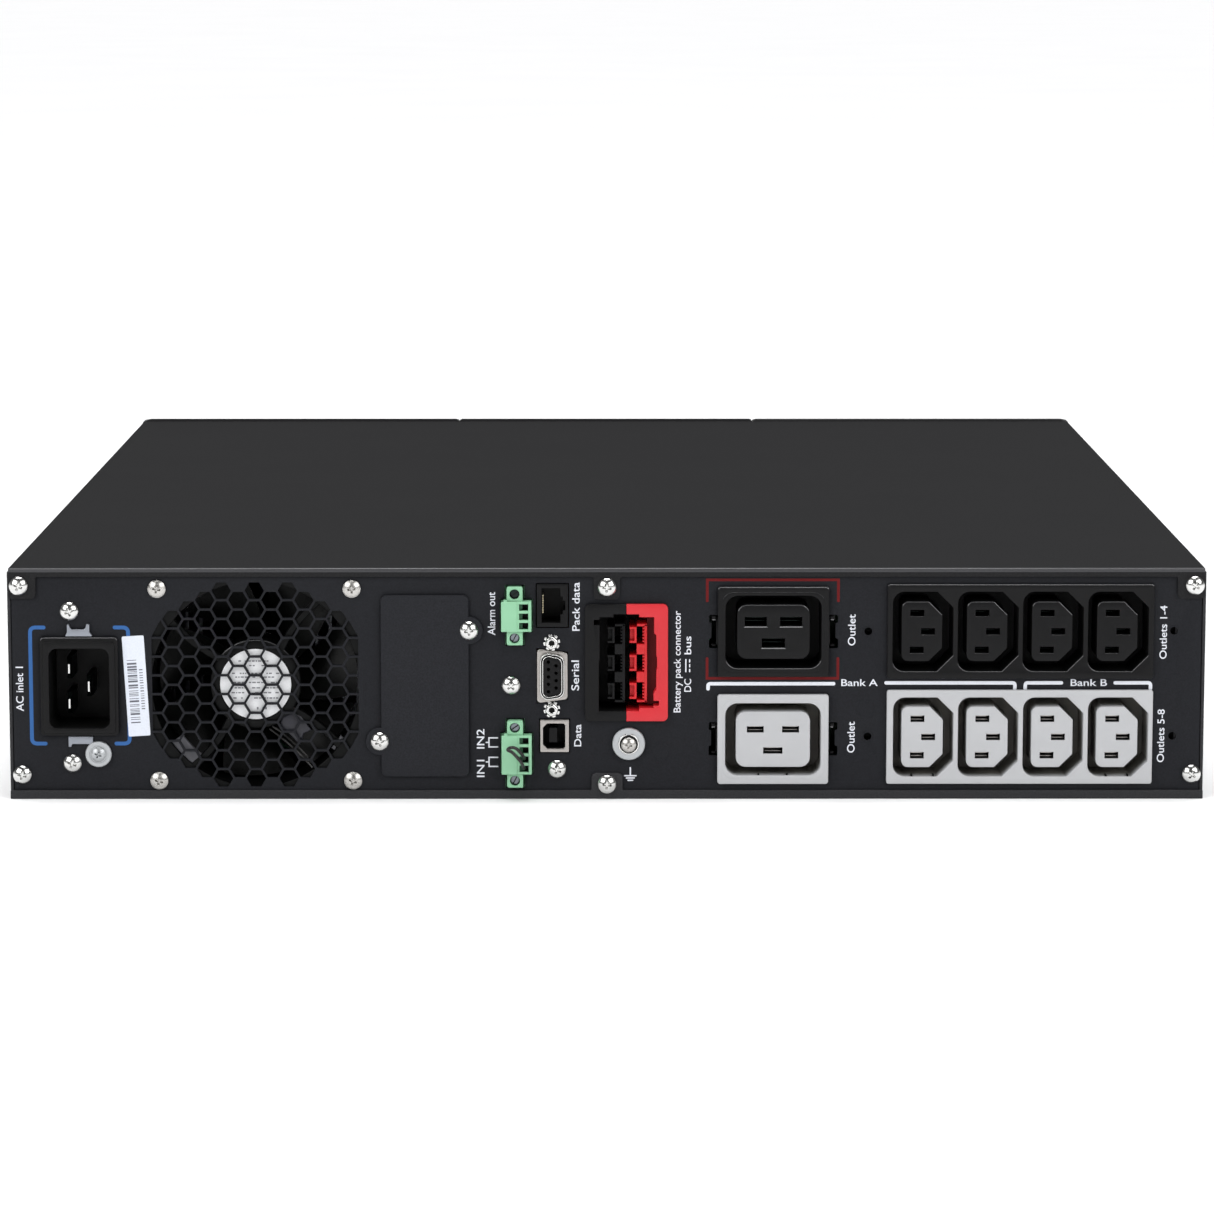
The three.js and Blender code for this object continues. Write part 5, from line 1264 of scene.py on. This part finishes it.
def marks():
    w = Piece("marks_white")
    for text, x, z, length, cap, turn in (
        ("AC inlet 1", -216.0, 41.0, 16.6, 2.75, 90), ("Alarm out", -42.3, 69.0, 16.0, 2.75, 90), ("Pack data", -11.3, 71.6, 18.0, 2.75, 90),
        ("Serial", -11.6, 46.0, 11.2, 2.8, 90), ("Data", -10.7, 23.6, 8.2, 2.6, 90), ("IN1  IN2", -46.5, 17.0, 18.0, 2.8, 90),
        ("Battery pack connector", 25.9, 51.1, 37.8, 2.55, 90), ("DC", 29.8, 42.3, 4.8, 2.5, 90), ("bus", 29.8, 57.2, 6.7, 2.5, 90),
        ("Outlet", 90.0, 62.9, 11.6, 2.75, 90), ("Outlet", 90.0, 22.9, 11.6, 2.75, 90), ("Outlets 1-4", 204.5, 62.0, 19.8, 2.6, 90),
        ("Outlets 5-8", 204.2, 23.4, 19.8, 2.6, 90), ("Bank A", 93.0, 43.3, 13.4, 2.55, 0), ("Bank B", 177.4, 43.3, 13.4, 2.55, 0),
    ):
        write(w, text, x, z, length, cap, turn, bold=0.008)
    # direct-current symbol
    stroke(w, [(29.1, 47.4), (29.1, 51.9)], 0.45, "white_ink")
    for a in (47.4, 49.2, 51.0):
        stroke(w, [(30.5, a), (30.5, a + 0.85)], 0.45, "white_ink")
    # earth symbol
    stroke(w, [(8.7, 11.5), (8.7, 8.6)], 0.55, "white_ink")
    for k, h in enumerate((2.1, 1.45, 0.85)):
        stroke(w, [(8.7 - h, 8.5 - k * 0.85), (8.7 + h, 8.5 - k * 0.85)], 0.5, "white_ink")
    # input pairs of the signal plug
    for zc in (21.0, 13.7):
        stroke(w, [(-40.2, zc + 1.7), (-43.4, zc + 1.7), (-43.4, zc - 1.7), (-40.2, zc - 1.7)], 0.5, "white_ink")
        stroke(w, [(-43.4, zc), (-44.4, zc)], 0.5, "white_ink")
    # outlet groups
    W = 1.3
    stroke(w, bend([(37.3, 41.0), (37.3, 42.9), (83.5, 42.9)], 0.9), W, "white_ink")
    stroke(w, bend([(102.8, 43.2), (150.2, 43.2), (150.2, 41.1)], 1.0), W, "white_ink")
    stroke(w, bend([(154.0, 41.1), (154.0, 43.2), (167.3, 43.2)], 1.0), W, "white_ink")
    stroke(w, bend([(187.1, 43.2), (200.1, 43.2), (200.1, 41.1)], 1.0), W, "white_ink")
    w.done("case", "panel_coat", weld=1e-6)

    b = Piece("marks_blue")
    stroke(b, bend([(-206.8, 63.9), (-211.8, 63.9), (-211.8, 20.6), (-206.8, 20.6)], 2.0), 1.4, "blue_ink")
    stroke(b, bend([(-180.7, 63.9), (-175.8, 63.9), (-175.8, 20.6), (-180.7, 20.6)], 2.0), 1.4, "blue_ink")
    b.done("case", "panel_coat", weld=1e-6)

    r = Piece("marks_red")
    for s0, s1 in ((36.9, 85.0),):
        stroke(r, [(s0, 73.7), (s0, 81.5), (s1, 81.5), (s1, 73.7)], 1.0, "red_ink")
        stroke(r, [(s0, 52.3), (s0, 44.9), (s1, 44.9), (s1, 52.3)], 1.0, "red_ink")
    r.done("case", "panel_coat", weld=1e-6)

    s = Piece("sticker")
    a, bq, c, d = Vector((-178.2, 60.5)), Vector((-170.1, 61.0)), Vector((-168.1, 23.7)), Vector((-176.1, 23.2))
    quad = arc_corners([tuple(d), tuple(c), tuple(bq), tuple(a)], 0.5, 4)
    s.plate(quad, -0.12, -0.01, "sticker", r=0.03, seg=1)
    ux, uz = (bq - a).normalized(), (d - a).normalized()
    rnd = random.Random(21)
    z = 8.9
    while z < 32.5:
        h = rnd.choice((0.25, 0.25, 0.45, 0.7))
        p0 = a + ux * 1.25 + uz * z
        pts = [p0, p0 + ux * 3.5, p0 + ux * 3.5 + uz * h, p0 + uz * h]
        s.add([(q.x, -0.125, q.y) for q in pts], [(0, 1, 2, 3)], "print")
        z += h + rnd.choice((0.3, 0.3, 0.5, 0.8))
    z = 12.5
    while z < 28.0:  # a line of blurred, unreadable print
        h = rnd.uniform(0.5, 0.95)
        p0 = a + ux * 5.5 + uz * z
        pts = [p0, p0 + ux * 1.3, p0 + ux * 1.3 + uz * h * 0.45, p0 + uz * h * 0.45]
        s.add([(q.x, -0.125, q.y) for q in pts], [(0, 1, 2, 3)], "print")
        z += h + 0.25
    s.done("case", "panel_coat", weld=1e-6)


marks()


# ------------------------------------------------------------------ carried-over CAD nodes
def dress(node, key, bevel=0.0, seg=2):
    o = NODES[node]
    o.data.materials.clear()
    o.data.materials.append(M[key])
    for p in o.data.polygons:
        p.use_smooth = True
    w = o.modifiers.new("weld", "WELD")
    w.merge_threshold = 1e-5
    if bevel:
        b = o.modifiers.new("bevel", "BEVEL")
        b.width, b.segments, b.limit_method, b.angle_limit = bevel / 1000, seg, "ANGLE", math.radians(35)
        o.modifiers.new("flat", "WEIGHTED_NORMAL")
    else:
        e = o.modifiers.new("split", "EDGE_SPLIT")
        e.split_angle = math.radians(35)


M["pcb"] = moulded("circuit_board", (24, 84, 48), 0.35)
M["alu"] = plated("extruded_aluminium", (186, 189, 194), 0.36, 0.06, 120)
M["can"] = moulded("capacitor_sleeve", (20, 28, 60), 0.22)
M["copper"] = plated("enamelled_copper", (176, 96, 52), 0.3)
M["case_dark"] = moulded("battery_case", (56, 58, 62), 0.5)
M["glass"] = moulded("display_window", (8, 10, 14), 0.12)
for node, key, bev in (
    ("chassis_base", "coat_base", 0.35), ("front_panel", "coat", 0.2), ("battery_bay_wall", "coat", 0.2),
    ("bezel_left", "bezel", 0.5), ("bezel_center", "bezel", 0.5), ("bezel_right", "bezel", 0.5),
    ("power_board", "pcb", 0.2), ("control_board", "pcb", 0.2), ("outlet_board", "pcb", 0.2),
    ("heatsink_left", "alu", 0.2), ("heatsink_right", "alu", 0.2), ("bus_capacitor_front", "can", 0.8), ("bus_capacitor_rear", "can", 0.8),
    ("input_choke", "copper", 0), ("output_choke", "copper", 0), ("battery_module", "case_dark", 1.0), ("battery_pull_tab", "rubber", 0.4),
):
    dress(node, key, bev)


# ------------------------------------------------------------------ front: display, keys, lamps; the pack's label
for key, mat in (
    ("lcd", moulded("display_cell", (44, 82, 112), 0.22, 0.5, 0.1)), ("lcd_ink", moulded("display_segments", (206, 222, 234), 0.35, 0.4, 0.04)),
    ("key_ink", moulded("key_print", (196, 199, 204), 0.5, 0.4, 0.04)), ("lamp_green", moulded("lamp_green", (74, 190, 96), 0.18)),
    ("lamp_amber", moulded("lamp_amber", (232, 164, 52), 0.18)), ("lamp_red", moulded("lamp_red", (196, 48, 44), 0.18)), ("lamp_off", moulded("lamp_clear", (150, 154, 158), 0.18)),
):
    M[key] = mat


def front():
    F = BEZEL_FRONT
    d = Piece("display_glass")
    d.plate(rounded(-52, 15, 24, 66, 2, 6), F - 0.3, F - 2.2, "glass", r=0.4, seg=4)
    d.box(-48, 11, F - 9, F - 2.1, 27, 63, "black_shade", 0.3)
    d.plate(rounded(-44, 7, 30, 60, 1.2, 4), F - 0.24, F - 0.32, "lcd", r=0.03, seg=1)
    y = F - 0.215
    stroke(d, [(-16, 37), (-39, 37), (-39, 53), (-16, 53), (-16, 37)], 0.7, "lcd_ink", y)  # battery gauge
    stroke(d, [(-41, 42.5), (-41, 47.5)], 1.6, "lcd_ink", y)
    for i in range(4):
        x = -18.6 - i * 5.2
        d.plate(rounded(x - 3.9, x + 0.4, 39.2, 50.8, 0.4, 2), y, y - 0.02, "lcd_ink", r=0)
    for i in range(5):  # load bars
        x = 0.5 - i * 3.1
        d.plate(rounded(x - 0.95, x + 0.95, 36.7, 39.6 + i * 2.4, 0.3, 2), y, y - 0.02, "lcd_ink" if i < 3 else "case_dark", r=0)
    stroke(d, [(-12.5 + 14 * t / 24, 55.4 + 1.6 * math.sin(t / 24 * 4 * math.pi)) for t in range(25)], 0.5, "lcd_ink", y)
    d.done("case", "display_plastic", "display_window")

    t = Piece("lamps")
    for i, key in enumerate(("lamp_green", "lamp_off", "lamp_amber", "lamp_red")):
        x = -6 - i * 9
        t.plate(circle(x, 72.6, 1.75, 32), F + 0.12, F - 0.3, "black", [circle(x, 72.6, 1.35, 32)], r=0.1, rh=0.08)
        t.lathe([(0, F - 1), (1.34, F - 1), (1.34, F), (1.2, F + 0.3), (0.8, F + 0.52), (0.35, F + 0.62), (0, F + 0.64)], x, 72.6, key, 28)
    t.done("case", "display_plastic")

    def arrow(p, x, z, up, y):
        stroke(p, [(x - 2.1, z - 1.0 * up), (x, z + 1.2 * up), (x + 2.1, z - 1.0 * up)], 0.7, "key_ink", y)

    for name, (x, z) in {"escape": (30, 57), "up": (50, 57), "down": (30, 35), "enter": (50, 35)}.items():
        k = Piece("key_" + name)
        k.lathe([(0, F - 4.2), (6.95, F - 4.2), (6.95, F - 2.85), (5.65, F - 2.85), (5.65, F + 0.7), (5.5, F + 1.0), (5.2, F + 1.14), (4.8, F + 1.16), (4.2, F + 1.0), (0, F + 0.86)], x, z, "rubber", 56)
        y = F + 1.04
        if name == "escape":
            stroke(k, [(x - 1.7, z - 1.7), (x + 1.7, z + 1.7)], 0.7, "key_ink", y)
            stroke(k, [(x - 1.7, z + 1.7), (x + 1.7, z - 1.7)], 0.7, "key_ink", y + 0.012)
        elif name == "enter":
            stroke(k, [(x - 2.2, z + 2.0), (x - 2.2, z - 0.6), (x + 2.2, z - 0.6)], 0.7, "key_ink", y)
            stroke(k, [(x + 0.7, z + 0.9), (x + 2.3, z - 0.6), (x + 0.7, z - 2.1)], 0.7, "key_ink", y + 0.012)
        else:
            arrow(k, x, z, 1 if name == "up" else -1, y)
        k.done("button_" + name, "rubber", "button_" + name)
    c = Piece("key_collars")
    for x, z in ((30, 57), (50, 57), (30, 35), (50, 35)):
        c.plate(circle(x, z, 7.4, 56), F + 0.28, F - 0.3, "black", [circle(x, z, 6.15, 56)], r=0.2, rh=0.15)
    c.done("case", "bezel_plastic")

    b = Piece("pack_label")
    b.plate(rounded(104, 182, 396, 462, 2, 5), 78.07, 77.95, "sticker", to=UP, r=0.03, seg=1)
    rnd = random.Random(8)
    for row in range(6):
        yy, xx = 452 - row * 6.2, 110.0
        while xx < 164:
            w = rnd.uniform(2, 7)
            b.plate(rect(xx, xx + w, yy - 0.9, yy + 0.9), 78.085, 78.06, "print", to=UP, r=0)
            xx += w + 1.6
    for i in range(26):
        x = 112 + i * 2.1
        b.plate(rect(x, x + rnd.choice((0.5, 0.9, 1.3)), 402, 411), 78.085, 78.06, "print", to=UP, r=0)
    b.done("battery", "battery_case", weld=1e-6)


front()
